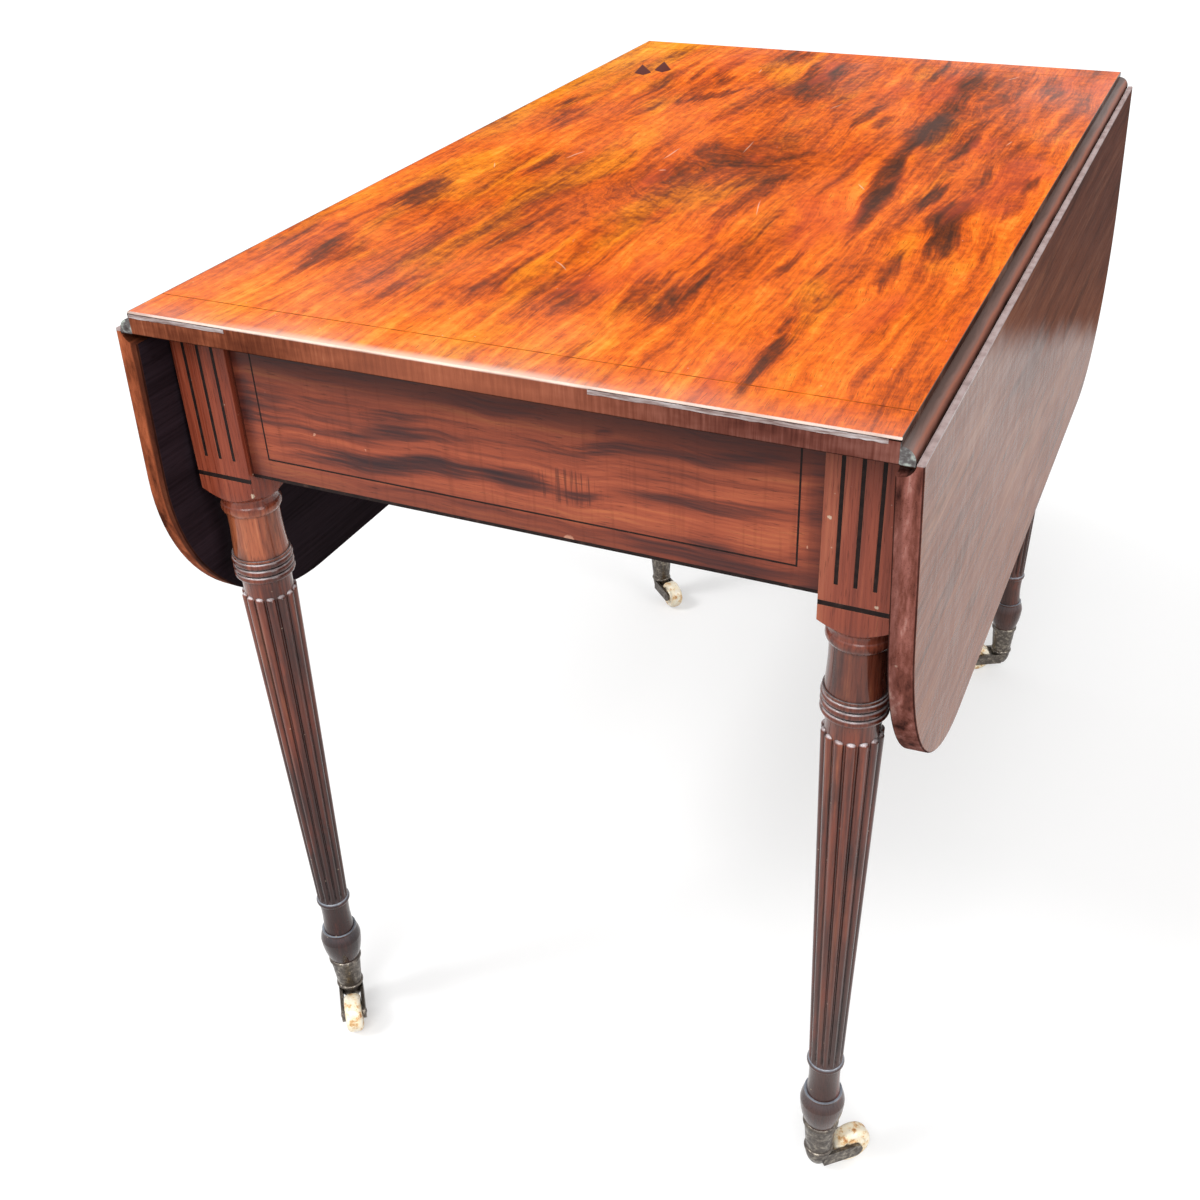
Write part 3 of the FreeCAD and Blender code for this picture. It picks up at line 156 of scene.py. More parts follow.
# Broad browner parts of it, and with a depth below 0 brighter ones, in the same way
TOP_BROWN = [
    (15, -75, 110, 130, 0, 1.3), (-20, 50, 100, 80, 0, 1.3), (-20, 240, 100, 170, 0, 0.8),
    (-132, 220, 60, 110, 0, 1.3), (-150, -225, 100, 150, 0, 0.4), (30, -300, 100, 90, 0, 0.2),
    (130, 110, 60, 170, 0, 0.9), (210, -60, 55, 170, 0, 1.1), (-195, 100, 45, 110, 0, 0.5),
    (-60, 390, 120, 60, 0, 0.5), (190, 330, 110, 140, 0, 1.2), (190, 110, 70, 130, 0, 0.5),
    (110, -180, 90, 90, 0, 0.6), (215, -230, 60, 110, 0, 0.8), (-35, -20, 75, 110, 0, 1.0),
    (129, 170, 40, 80, 0, 0.6), (-170, 110, 90, 110, 0, 0.5), (-40, -395, 190, 80, 0, -1.5),
    (-200, -390, 110, 90, 0, -0.8),
]
# Heart of the crotch figure, where the grain turns round, and the dark arcs in it, in the same way
TOP_HEART = [(8, 30, 85, 80, 0, 1.1), (-40, -110, 90, 110, 0, 0.8)]
TOP_ARCS = [
    (-35, 52, 20, 62, 0, 0.8), (4, 10, 48, 22, 8, 1.1), (43, 46, 14, 48, -28, 0.8),
    (42, -26, 24, 62, -48, 0.9), (27, 243, 14, 9, 0, 0.7), (-75, -40, 12, 70, -30, 0.5),
    (-20, -150, 60, 12, 10, 0.5), (-30, -190, 50, 10, -12, 0.4),
]
# Pale scratches on it, in the same way
TOP_SCRATCHES = [
    (-58, 20, 0.8, 24, -8, 1.0), (-8, 60, 0.7, 26, 5, 0.8), (-136, -10, 0.8, 16, -12, 1.0),
    (-51, -28, 4, 1.5, 30, 1.0), (160, 375, 0.8, 14, -25, 0.9), (60, -95, 0.7, 26, 14, 0.7),
    (-190, -60, 0.8, 10, 30, 0.8), (30, 215, 0.7, 16, -18, 0.8), (120, -20, 0.7, 10, 24, 0.8),
    (-90, 330, 0.8, 12, 10, 0.8), (205, 140, 0.8, 10, -10, 0.9), (-30, -260, 0.7, 14, 35, 0.7),
]
# Repair wedges in the far left of the top, in mm: x, y of the point, half width, length, turn in degrees
TOP_WEDGES = [(-219, 326, 13, 56, 24), (-202, 346, 13, 58, 20)]
# Dark bands in the plain end rail, in mm: x, z, half length, half height, rise in degrees, depth of tone
RAIL_STREAKS = [
    (-73, 616, 110, 13, 7, 1.0), (4, 622, 34, 12, 5, 0.9), (-82, 639, 95, 9, 8, 0.9),
    (-157, 683, 60, 9, 13, 0.9), (-86, 650, 32, 10, 0, 0.7), (103, 659, 120, 9, 6, 1.0),
    (-7, 673, 70, 8, 5, 0.7), (68, 665, 9, 5, 0, 0.9), (134, 629, 85, 8, 5, 1.0),
    (50, 620, 18, 6, 0, 0.9), (141, 594, 80, 11, 0, 0.9), (137, 606, 22, 14, 0, 0.6),
    (155, 688, 65, 10, 2, 0.8), (204, 640, 9, 60, 0, 0.6), (-204, 650, 9, 50, 0, 0.6),
    (-60, 694, 150, 9, 0, 0.6), (-190, 645, 30, 10, 12, 0.6), (100, 640, 50, 5, 8, 0.5),
    (-20, 595, 190, 5, 0, 0.5), (-150, 605, 60, 7, 4, 0.7),
]
# A cross-striped patch in the same rail, in the same way
STRIPED_PATCH = (41, 623, 30, 15, 0, 1.0)
# Bare chips, in mm: x, y, z, half size
LEG_CHIPS = [
    (-208.8, -406.4, 569, 2.4), (-243, -406.4, 600, 1.3), (213, -406.4, 640, 1.6),
    (245, -406.4, 585, 1.3),
]
RAIL_CHIPS = [
    (-150, -400.6, 626, 1.1), (-110, -400.6, 622, 1.0), (199, -400.6, 614, 1.0), (40, -400.6, 584, 4.5),
]

# Tones of the woods and metals
FIGURE_RED = [
    (0.27, "4c2616"), (0.34, "6e3214"), (0.4, "983e10"), (0.45, "c25210"), (0.5, "e26412"),
    (0.55, "f27618"), (0.63, "fa9630"),
]
FIGURE_GOLD = [
    (0.27, "4c2612"), (0.34, "743610"), (0.4, "a0500c"), (0.45, "ce720c"), (0.5, "ea8810"),
    (0.55, "f69c1a"), (0.63, "fcb63c"),
]
FIGURE_FRIEZE = [
    (0.28, "341e20"), (0.35, "4e2a26"), (0.41, "70382c"), (0.46, "904632"), (0.51, "a25038"),
    (0.56, "b05a3e"), (0.65, "c47048"),
]
WARM_END_TONES = [(0.32, "46221a"), (0.48, "6e3a28"), (0.6, "8e5038"), (0.72, "ac7052")]
DARK_END_TONES = [(0.32, "46241f"), (0.48, "6c3e35"), (0.6, "86564c"), (0.72, "a47264")]
BARE_END_TONES = [(0.4, "4c4644"), (0.52, "6e6a6a"), (0.62, "b4bcb4")]
SIDE_TONES = [(0.35, "2a1a16"), (0.5, "4e342c"), (0.62, "70544a"), (0.72, "957868")]
# Painted light and shade of the moulded side of the top, by how far it looks up
OVOLO_SHADING_TONES = [(0.1, "2c1c17"), (0.4, "74483c"), (0.62, "9a6250"), (0.8, "7c6058"), (0.95, "604c46")]
POST_TONES = [(0.3, "54211a"), (0.45, "883f2c"), (0.57, "a04e37"), (0.7, "bc6a4c")]
TURNED_TONES = [(0.3, "2e130e"), (0.45, "58271b"), (0.56, "7c3d2a"), (0.7, "ac6844")]
DRUM_TONES = [(0.3, "6c2e1a"), (0.45, "a65636"), (0.57, "c4704a"), (0.7, "d68e6a")]
FOOT_TONES = [(0.3, "160a09"), (0.5, "2e1512"), (0.7, "4e2c22")]
# Leaf face: painted shade above the slanting line, and a painted reflection below it
SHADED_LEAF_TONES = [(0.3, "341914"), (0.5, "4e2a22"), (0.7, "6a4236")]
REFLECTION_LEAF_TONES = [(0.3, "623520"), (0.5, "8a4e32"), (0.7, "a8704c")]
# Inside of a leaf: dark stain and painted shade
SHADED_INNER_LEAF_TONES = [(0.35, "1c1417"), (0.6, "31262c")]
KNOB_TONES = [(0.3, "32130d"), (0.45, "552216"), (0.56, "733520"), (0.7, "93502e")]
RAIL_TONES = [(0.3, "4a1d12"), (0.45, "74321c"), (0.55, "8a4224"), (0.7, "a45c36")]
INNER_TONES = [(0.3, "6c4628"), (0.5, "946640"), (0.7, "b48458")]
EBONY_TONES = [(0.35, "181010"), (0.6, "2a1e1c"), (0.75, "46342e")]
STRING_TONES = [(0.4, "6e300e"), (0.52, "a04c12"), (0.62, "c86416")]
LIP_TONES = [(0.3, "563a34"), (0.42, "8a7470"), (0.54, "aea09e"), (0.68, "d2cacc")]
CERAMIC_TONES = [(0.3, "a8602e"), (0.4, "dcb078"), (0.48, "f8e8c8"), (0.6, "fff6e2")]
IRON_TONES = [(0.35, "2a2320"), (0.55, "4a423c"), (0.7, "6a6058")]
STEEL_TONES = [(0.35, "5a5550"), (0.55, "8a857e"), (0.7, "a8a49c")]
BRASS_TONES = [(0.3, "3c3632"), (0.5, "625b55"), (0.68, "928a7e")]

FLAT = 1000                           # half size, in mm, of a flat spot across its plane
NOISE_LOW, NOISE_HIGH = 0.3, 0.7      # usual range of a noise
PORE_HEIGHT = -0.6                    # pores lie below the surface in the relief of the wood
OPEN_RELIEF, FILLED_RELIEF = 0.00012, 0.0001

TopGrain = namedtuple("TopGrain", "bent_x bent clumps strokes fibres pores")


def tint(code):
    """Linear colour of a six-digit screen colour."""
    parts = [int(code[place:place + 2], 16) / 255 for place in (0, 2, 4)]
    return tuple(c / 12.92 if c <= 0.04045 else ((c + 0.055) / 1.055) ** 2.4 for c in parts) + (1.0,)


class Nodes:
    """Fills the node tree of a material or a world; most methods add a node and give its output."""

    def __init__(self, owner):
        self.owner = owner
        owner.use_nodes = True
        self.tree = owner.node_tree
        self.tree.nodes.clear()

    def add(self, kind, inputs=None, **settings):
        """A node, with its inputs linked to sockets or set to values."""
        made = self.tree.nodes.new("ShaderNode" + kind)
        for key, value in settings.items():
            setattr(made, key, value)
        for key, value in (inputs or {}).items():
            if isinstance(value, bpy.types.NodeSocket):
                self.tree.links.new(value, made.inputs[key])
            else:
                made.inputs[key].default_value = tint(value) if isinstance(value, str) else value
        return made

    def position(self):
        """The place on the piece, in the frame at rest."""
        return self.add("TexCoord").outputs["Object"]

    def facing(self):
        """The three parts of the surface's direction."""
        return self.split(self.add("TexCoord").outputs["Normal"])

    def split(self, vector):
        return self.add("SeparateXYZ", {"Vector": vector}).outputs

    def join(self, x, y, z=0.0):
        return self.add("CombineXYZ", {"X": x, "Y": y, "Z": z}).outputs[0]

    def stretch(self, vector, scale):
        return self.add("VectorMath", {0: vector, 1: scale}, operation="MULTIPLY").outputs[0]

    def shift(self, vector, step):
        return self.add("VectorMath", {0: vector, 1: step}).outputs[0]

    def jitter(self, place, scale, detail, reach):
        """The place, moved at random by up to half the reach along each axis."""
        noise = self.add("TexNoise", {"Vector": self.stretch(place, scale), "Scale": 1.0, "Detail": detail})
        middle = self.shift(place, tuple(-0.5 * part for part in reach))
        inputs = {0: noise.outputs["Color"], 1: reach, 2: middle}
        return self.add("VectorMath", inputs, operation="MULTIPLY_ADD").outputs[0]

    def noise(self, vector, detail=4.0, roughness=0.55, distortion=0.0):
        inputs = {"Vector": vector, "Scale": 1.0, "Detail": detail, "Roughness": roughness}
        return self.add("TexNoise", {**inputs, "Distortion": distortion}).outputs[0]

    def flat_noise(self, x, y, x_scale, y_scale, *settings):
        """Noise in a plane, stretched along its two axes."""
        return self.noise(self.join(self.times(x, x_scale), self.times(y, y_scale)), *settings)

    def math(self, operation, *values):
        return self.add("Math", dict(enumerate(values)), operation=operation).outputs[0]

    def times(self, first, second):
        return self.math("MULTIPLY", first, second)

    def plus(self, first, second):
        return self.math("ADD", first, second)

    def weigh(self, value, weight, rest):
        """The value times its weight, added to the rest."""
        return self.math("MULTIPLY_ADD", value, weight, rest)

    def centred(self, noise):
        """The noise, moved from about 0.5 to about 0."""
        return self.math("SUBTRACT", noise, 0.5)

    def opposite(self, share):
        return self.math("SUBTRACT", 1.0, share)

    def larger(self, first, second):
        return self.math("MAXIMUM", first, second)

    def unsigned(self, value):
        return self.math("ABSOLUTE", value)

    def span(self, value, low, high, to_low=0.0, to_high=1.0):
        """The value, mapped smoothly from one span to another."""
        inputs = {"Value": value, "From Min": low, "From Max": high, "To Min": to_low, "To Max": to_high}
        return self.add("MapRange", inputs, interpolation_type="SMOOTHSTEP").outputs[0]

    def spread(self, noise, to_low, to_high):
        """The usual range of a noise, mapped to another span."""
        return self.span(noise, NOISE_LOW, NOISE_HIGH, to_low, to_high)

    def between(self, value, rise_from, rise_to, fall_from, fall_to):
        """1 inside a band of values, with a soft rise and fall at its ends."""
        return self.times(self.span(value, rise_from, rise_to), self.span(value, fall_to, fall_from))

    def beyond(self, value, edge, border):
        """1 past a soft border that starts and ends the given distances short of an edge."""
        return self.span(value, edge - border[0], edge - border[1])

    def ramp(self, value, stops):
        made = self.add("ValToRGB", {"Fac": value})
        elements = made.color_ramp.elements
        while len(elements) < len(stops):
            elements.new(1.0)
        for element, (place, code) in zip(elements, stops):
            element.position = place
            element.color = tint(code)
        return made.outputs["Color"]

    def blend(self, share, first, second):
        """Number between two numbers."""
        return self.add("Mix", {0: share, 2: first, 3: second}).outputs[0]

    def mix(self, share, first, second):
        """Colour between two colours."""
        return self.add("Mix", {0: share, 6: first, 7: second}, data_type="RGBA").outputs[2]

    def stain(self, colour, other, share, amount):
        """The colour, covered by another one by a share times an amount."""
        return self.mix(self.times(share, amount), colour, other)

    def bump(self, height, distance, rounding=0.0):
        """Relief, on a surface whose sharp edges look rounded to the given radius."""
        inputs = {"Height": height, "Distance": distance}
        if rounding:
            inputs["Normal"] = self.add("Bevel", {"Radius": rounding}, samples=6).outputs[0]
        return self.add("Bump", inputs).outputs[0]

    def shelter(self, distance, inside=False):
        """How closed in the surface is: 1 in a deep groove, or at a sharp edge if looked at from inside."""
        made = self.add("AmbientOcclusion", {"Distance": distance}, samples=6, inside=inside)
        return self.opposite(made.outputs["AO"])

    def surface(self, **inputs):
        """The finished material."""
        inputs = {key.replace("_", " "): value for key, value in inputs.items()}
        made = self.add("BsdfPrincipled", inputs)
        self.add("OutputMaterial", {"Surface": made.outputs[0]})
        return self.owner


def new_material(name):
    return Nodes(bpy.data.materials.new(name))


def along_axis(axis, across, along):
    """Stretch for a grain that runs along X, Y or Z."""
    return tuple(along if axis == name else across for name in "xyz")


def spot_place(n, place, middle, half_sizes, turn=0.0):
    """The place, counted in the half sizes of a spot from its middle; in mm, turned in degrees about Z."""
    inputs = {
        "Vector": place,
        "Location": tuple(part * MM for part in middle),
        "Rotation": (0, 0, math.radians(turn)),
        "Scale": tuple(part * MM for part in half_sizes),
    }
    return n.add("Mapping", inputs, vector_type="TEXTURE").outputs[0]


def round_spot(n, *spot):
    """1 at the middle of a spot, fading to 0 at its edge."""
    inputs = {"Vector": spot_place(n, *spot)}
    return n.add("TexGradient", inputs, gradient_type="SPHERICAL").outputs["Fac"]


def streaks(n, flat, places, fill=1.0):
    """Sum of long spots in a plane: (x, y, half size, half size, turn in degrees, depth), in mm.

    Each fades from its middle to its edge, or only outside its middle where the fill is under 1.
    """
    total = 0.0
    for x, y, half_x, half_y, turn, depth in places:
        spot = round_spot(n, flat, (x, y, 0), (half_x, half_y, FLAT), turn)
        if fill < 1.0:
            spot = n.span(spot, 0.0, fill)
        total = n.weigh(spot, depth, total)
    return total


def chips(n, place, places):
    """Ragged small spots in space: (x, y, z, half size), in mm."""
    ragged = n.jitter(place, (420,) * 3, 3.0, (0.004,) * 3)
    total = 0.0
    for x, y, z, half in places:
        total = n.plus(round_spot(n, ragged, (x, y, z), (half,) * 3), total)
    return n.span(total, 0.05, 0.3)


def specks(n, place, density, size):
    """Sparse pale dots, such as dust and pin-point wear."""
    cells = n.add("TexVoronoi", {"Vector": place, "Scale": density}).outputs
    chosen = n.span(n.split(cells["Color"])[0], 0.8, 0.82)
    return n.times(chosen, n.span(cells["Distance"], size, size * 0.4))


def grain(n, axis):
    """Fibre, band and pore patterns of mahogany along one axis."""
    place = n.position()
    fibre = n.noise(n.stretch(place, along_axis(axis, 420, 12)), 3.0)
    band = n.noise(n.stretch(place, along_axis(axis, 34, 2.4)), 5.0, 0.6, 0.5)
    pores = n.span(n.noise(n.stretch(place, along_axis(axis, 1500, 70)), 2.0), 0.6, 0.7)
    return fibre, band, pores


def relief(n, fibre, pores, fibre_height, distance, rounding=0.0):
    """Raised fibres and sunk pores, on edges that look rounded."""
    height = n.weigh(pores, PORE_HEIGHT, n.times(fibre, fibre_height))
    return n.bump(height, distance, rounding)


def worn_edges(n, band, start, full):
    """Sharp edges that have lost their colour, mostly where the band is light."""
    return n.times(n.span(n.shelter(0.0015, True), start, full), n.span(band, 0.35, 0.6))


def mahogany(name, axis, tones, roughness=0.36, coat=0.06, dirt="120806"):
    """Old polished mahogany: banded tone, dark pores, dirt in the hollows, worn edges."""
    n = new_material(name)
    fibre, band, pores = grain(n, axis)
    colour = n.ramp(n.weigh(fibre, 0.35, n.times(band, 0.65)), tones)
    colour = n.stain(colour, dirt, pores, 0.45)
    colour = n.stain(colour, "b06a44", worn_edges(n, band, 0.35, 0.8), 0.4)
    colour = n.stain(colour, dirt, n.span(n.shelter(0.006), 0.12, 0.6), 0.92)
    colour = n.stain(colour, "c8a890", specks(n, n.position(), 110, 0.09), 0.6)
    return n.surface(
        Base_Color=colour, Roughness=n.spread(fibre, roughness - 0.07, roughness + 0.1),
        Normal=relief(n, fibre, pores, 0.4, OPEN_RELIEF),
        Specular_IOR_Level=0.2, Coat_Weight=coat, Coat_Roughness=0.12
    )


def leg_tones(n, place, tone):
    """Wood of a leg from post to foot: warm posts, a faded drum at the left, dark feet; posts and feet at
    the right are greyed and lightened by a painted reflection.
    """
    x, _, z = n.split(place)
    # Painted reflection: the posts grey towards the right
    post = n.mix(n.span(x, 0.0, 0.2, 0.0, 0.22), n.ramp(tone, POST_TONES), "6e4c4a")
    # Painted reflection: the feet lighten towards the right
    foot = n.mix(n.span(x, LEFT_X, RIGHT_X, 0.0, 0.4), n.ramp(tone, FOOT_TONES), "5a3c34")
    colour = n.mix(n.span(z, DRUM_TOP - 0.01, DRUM_TOP + 0.03), n.ramp(tone, TURNED_TONES), post)
    on_drum = n.between(z, DRUM_FOOT - 0.004, DRUM_FOOT + 0.006, DRUM_TOP, DRUM_TOP + 0.008)
    faded = n.times(on_drum, n.span(x, LEFT_X, RIGHT_X, 0.85, 0.1))
    colour = n.mix(faded, colour, n.ramp(tone, DRUM_TONES))
    colour = n.mix(n.times(on_drum, n.span(x, LEFT_X, RIGHT_X, 0.0, 0.3)), colour, "34191a")
    return n.mix(n.span(z, LEG_FOOT, LEG_REEDS), foot, colour)


def leg_patina(n, colour, turned_part, patina):
    """Dark and red patches on the turned part of a leg."""
    colour = n.stain(colour, "180a09", turned_part, n.span(patina, 0.48, 0.7, 0.0, 0.55))
    return n.stain(colour, "8c3c26", turned_part, n.span(patina, 0.46, 0.3, 0.0, 0.3))


def leg_highlights(n, z, colour, turned_part, patina):
    """A painted blue-grey sheen round the ankle, and painted highlights that make turned edges pale where
    they look up.
    """
    _, _, up = n.facing()
    # Painted sheen: a blue-grey reflection on the upward faces round the ankle
    ankle = n.span(z, LEG_ANKLE + 0.05, LEG_ANKLE)
    colour = n.stain(colour, "6c7078", ankle, n.span(up, 0.1, 0.6, 0.0, 0.35))
    # Painted highlights on the upward faces of the turned edges
    painted_highlight = n.times(turned_part, n.span(up, 0.4, 0.8, 0.0, 0.95))
    pale = n.mix(n.span(z, LEG_ANKLE, LEG_MIDDLE), "a0a8b4", "dcd2d4")
    return n.stain(colour, pale, painted_highlight, n.span(patina, 0.4, 0.62, 1.0, 0.5))


def leg_mahogany():
    """Legs: warm red posts, darker to the foot, glossy below the posts, near-black between the reeds from
    dirt and painted shade.
    """
    n = new_material("mahogany_leg")
    place = n.position()
    _, _, z = n.split(place)
    fibre, band, pores = grain(n, "z")
    patina = n.noise(n.stretch(place, (60, 60, 16)), 4.0, 0.65)
    turned_part = n.span(z, DRUM_TOP + 0.012, DRUM_TOP - 0.004)
    colour = leg_tones(n, place, n.weigh(fibre, 0.4, n.times(band, 0.6)))
    colour = leg_patina(n, colour, turned_part, patina)
    colour = n.stain(colour, "120806", pores, 0.4)
    colour = n.stain(colour, "b87a50", worn_edges(n, band, 0.3, 0.75), 0.45)
    colour = leg_highlights(n, z, colour, turned_part, patina)
    # Dark in the hollows: dirt, and painted shade that turns near-black between the reeds
    hollow = n.span(n.shelter(0.006), 0.12, 0.5)
    colour = n.stain(colour, "0c0505", hollow, n.span(z, LEG_FOOT + 0.01, LEG_ANKLE + 0.01, 0.45, 0.95))
    bare = n.larger(chips(n, place, LEG_CHIPS), n.times(specks(n, place, 120, 0.1), 0.6))
    colour = n.stain(colour, "d8c0a8", bare, 0.8)
    gloss = n.span(z, LEG_MIDDLE, LEG_REEDS + 0.02, 0.45, 0.6)
    gloss = n.times(gloss, n.span(z, DRUM_TOP, DRUM_TOP + 0.025, 1.0, 0.12))
    return n.surface(
        Base_Color=colour, Roughness=n.spread(fibre, 0.22, 0.36),
        Normal=relief(n, fibre, pores, 0.4, OPEN_RELIEF, LEG_ROUNDING),
        Specular_IOR_Level=0.16, Coat_Weight=gloss, Coat_Roughness=0.07
    )


def wedges(n, x, y, places):
    """Tapered patches in the plane of the top: point, half width, length and turn."""
    total = 0.0
    for tip_x, tip_y, half, length, turn in places:
        spot = spot_place(n, n.join(x, y), (tip_x, tip_y, 0), (half, length, FLAT), turn)
        across, along, _ = n.split(spot)
        down = n.times(along, -1.0)
        swell = n.times(down, n.span(down, 1.0, 0.72))
        inside = n.math("SUBTRACT", swell, n.unsigned(across))
        total = n.larger(n.span(inside, 0.03, 0.12), total)
    return total


def flame(n, across, along):
    """Feathered figure: clumps, strokes and fibres along the second coordinate, each 0.5 on average."""
    clumps = n.flat_noise(across, along, 46, 4.5, 5.0, 0.62, 0.2)
    strokes = n.flat_noise(across, along, 170, 10.0, 5.0, 0.7, 0.1)
    fibres = n.flat_noise(across, along, 520, 24.0, 3.0, 0.6)
    return clumps, strokes, fibres


def top_grain(n, place):
    """Grain of the top, which sways along the board and turns round at the heart of the figure."""
    x, y, _ = n.split(place)
    sway = n.centred(n.noise(n.stretch(place, (16, 5, 0)), 2.0))
    curl = n.centred(n.noise(n.stretch(place, (70, 26, 0)), 3.0))
    bent_x = n.weigh(curl, 0.003, n.weigh(sway, 0.03, x))
    bent = n.join(bent_x, y)
    bowl = n.weigh(n.times(bent_x, bent_x), -12.0, y)
    bowl = n.weigh(n.noise(n.stretch(place, (26, 26, 0)), 3.0), 0.06, bowl)
    heart = n.span(streaks(n, bent, TOP_HEART), 0.05, 0.75, 0.0, 0.8)
    pairs = zip(flame(n, bent_x, y), flame(n, bowl, x))
    clumps, strokes, fibres = [n.blend(heart, plain, swirl) for plain, swirl in pairs]
    pores = n.span(n.flat_noise(bent_x, y, 1500, 70, 2.0), 0.6, 0.7)
    return TopGrain(bent_x, bent, clumps, strokes, fibres, pores)


def top_tone(n, place, lines):
    """Tone of the figure, dark below about 0.4 and bright above 0.5."""
    _, y, _ = n.split(place)
    wavy = n.jitter(place, (30, 30, 0), 4.0, (0.03, 0.03, 0))
    comb = n.flat_noise(lines.bent_x, y, 150, 2.0, 4.0, 0.65)
    ragged = n.join(lines.bent_x, n.weigh(n.centred(comb), 0.1, y))
    broad = n.flat_noise(lines.bent_x, y, 13, 3.4, 3.0, 0.6, 0.6)
    mottle = n.noise(n.stretch(lines.bent, (140, 95, 0)), 5.0, 0.72)
    tone = n.weigh(lines.strokes, 0.34, n.times(broad, 0.32))
    tone = n.weigh(lines.clumps, 0.34, tone)
    tone = n.weigh(n.centred(lines.fibres), 0.13, tone)
    tone = n.weigh(n.centred(mottle), 0.3, tone)
    tone = n.weigh(streaks(n, ragged, TOP_STREAKS, 0.6), -0.13, tone)
    tone = n.weigh(streaks(n, wavy, TOP_ARCS, 0.7), -0.25, tone)
    return n.weigh(streaks(n, ragged, TOP_BROWN), -0.065, tone)


def top_face(n, place, lines):
    """Flat face of the top: golden at the far left, red elsewhere, with repairs, specks and scratches."""
    x, y, _ = n.split(place)
    tone = top_tone(n, place, lines)
    warmth = n.noise(n.shift(n.stretch(lines.bent, (15, 4.5, 0)), (3.1, 0, 0)), 3.0, 0.6)
    warmth = n.weigh(x, -0.22, warmth)
    from_left = n.weigh(n.centred(lines.clumps), 0.2, n.weigh(y, -0.22, x))
    redness = n.times(n.span(from_left, -0.32, -0.23), n.span(warmth, 0.52, 0.66, 1.0, 0.4))
    colour = n.mix(redness, n.ramp(tone, FIGURE_GOLD), n.ramp(tone, FIGURE_RED))
    colour = n.mix(n.span(warmth, 0.46, 0.34, 0.0, 0.34), colour, "d8502c")
    colour = n.stain(colour, "3a1608", lines.pores, 0.5)
    colour = n.mix(wedges(n, x, y, TOP_WEDGES), colour, "5a1e14")
    scratched = n.span(streaks(n, lines.bent, TOP_SCRATCHES), 0.1, 0.5)
    return n.stain(colour, "f4dcc0", n.larger(specks(n, place, 100, 0.07), scratched), 0.42)


def top_end(n, place, patch):
    """Cross-grained end of the top, paler in the middle and duller at the right."""
    x, _, _ = n.split(place)
    ends = n.noise(n.stretch(place, (420, 30, 30)), 3.0)
    tone = n.weigh(ends, 0.45, n.times(patch, 0.55))
    warm = n.mix(n.span(n.unsigned(x), 0.17, 0.05, 0.0, 0.4), n.ramp(tone, WARM_END_TONES), "c07258")
    return n.mix(n.span(x, 0.0, 0.2), warm, n.ramp(tone, DARK_END_TONES))


def top_side(n, place, strokes, at_end):
    """Moulded side of the top: toned by how far it looks up, which paints light, shade and a highlight on
    the moulding; bare and grey at its two ends.
    """
    _, _, up = n.facing()
    # Painted light and shade: the moulding is toned by how far it looks up
    shaded_ovolo = n.ramp(n.weigh(n.centred(strokes), 0.5, up), OVOLO_SHADING_TONES)
    colour = n.mix(n.span(up, 0.05, 0.2), n.ramp(strokes, SIDE_TONES), shaded_ovolo)
    bare = n.noise(n.stretch(place, (120, 0, 160)), 3.0)
    return n.mix(at_end, colour, n.ramp(bare, BARE_END_TONES))


def top_wear(n, place, colour, patch):
    """Worn arris with a painted highlight, painted glare along the near edge, underside darkened by stain
    and painted shade, and the cracks above the lifted strips.
    """
    x, y, z = n.split(place)
    nearness = n.times(y, -1.0)
    # The arris is pale from wear and from a painted highlight along it
    arris = n.times(n.beyond(n.unsigned(y), END_Y, ARRIS_IN), n.beyond(z, TOP_Z, ARRIS_DOWN))
    colour = n.stain(colour, "f0dcd0", arris, n.span(patch, 0.3, 0.6, 0.45, 0.9))
    # Painted highlight: a pale glare band along the near edge
    painted_highlight = n.times(n.beyond(nearness, END_Y, GLARE_IN), n.beyond(z, TOP_Z, GLARE_DOWN))
    painted_highlight = n.times(painted_highlight, n.between(x, *GLARE_START, *GLARE_STOP))
    colour = n.stain(colour, "f8dcc8", painted_highlight, 0.7)
    # Underside darkened: partly stain, partly painted shade
    above = n.span(z, TOP_LOW.z + UNDERSIDE_BORDER[0], TOP_LOW.z + UNDERSIDE_BORDER[1])
    colour = n.mix(above, "2a1610", colour)
    left = LIPS["lip_left"][1] * MM
    right = LIPS["lip_right"][0] * MM
    lifted = n.larger(n.span(x, left, left - LIP_FADE), n.span(x, right, right + LIP_FADE))
    depth = n.math("SUBTRACT", TOP_Z, z)
    crack = n.between(depth, *CRACK_START, *CRACK_STOP)
    crack = n.times(crack, n.beyond(nearness, END_Y, CRACK_IN))
    return n.stain(colour, "120807", crack, lifted)


def top_polish(n, place, at_end):
    """Polish of the top: hazy at the near end and far right, none on the ends, less down the moulding."""
    x, y, z = n.split(place)
    smudge = n.noise(n.stretch(place, (9, 5, 0)), 4.0)
    polish = n.span(n.weigh(x, 0.3, y), -0.45, -0.2, 0.36, 0.11)
    polish = n.plus(polish, n.span(y, HAZE_IN - END_Y, -END_Y, 0.0, 0.6))
    polish = n.plus(polish, n.span(n.plus(x, y), 0.15, 0.65, 0.0, 0.26))
    polish = n.times(polish, n.spread(smudge, 0.5, 1.5))
    polish = n.times(polish, n.opposite(at_end))
    return n.times(polish, n.span(z, TOP_LOW.z + 0.001, TOP_Z - 0.001))


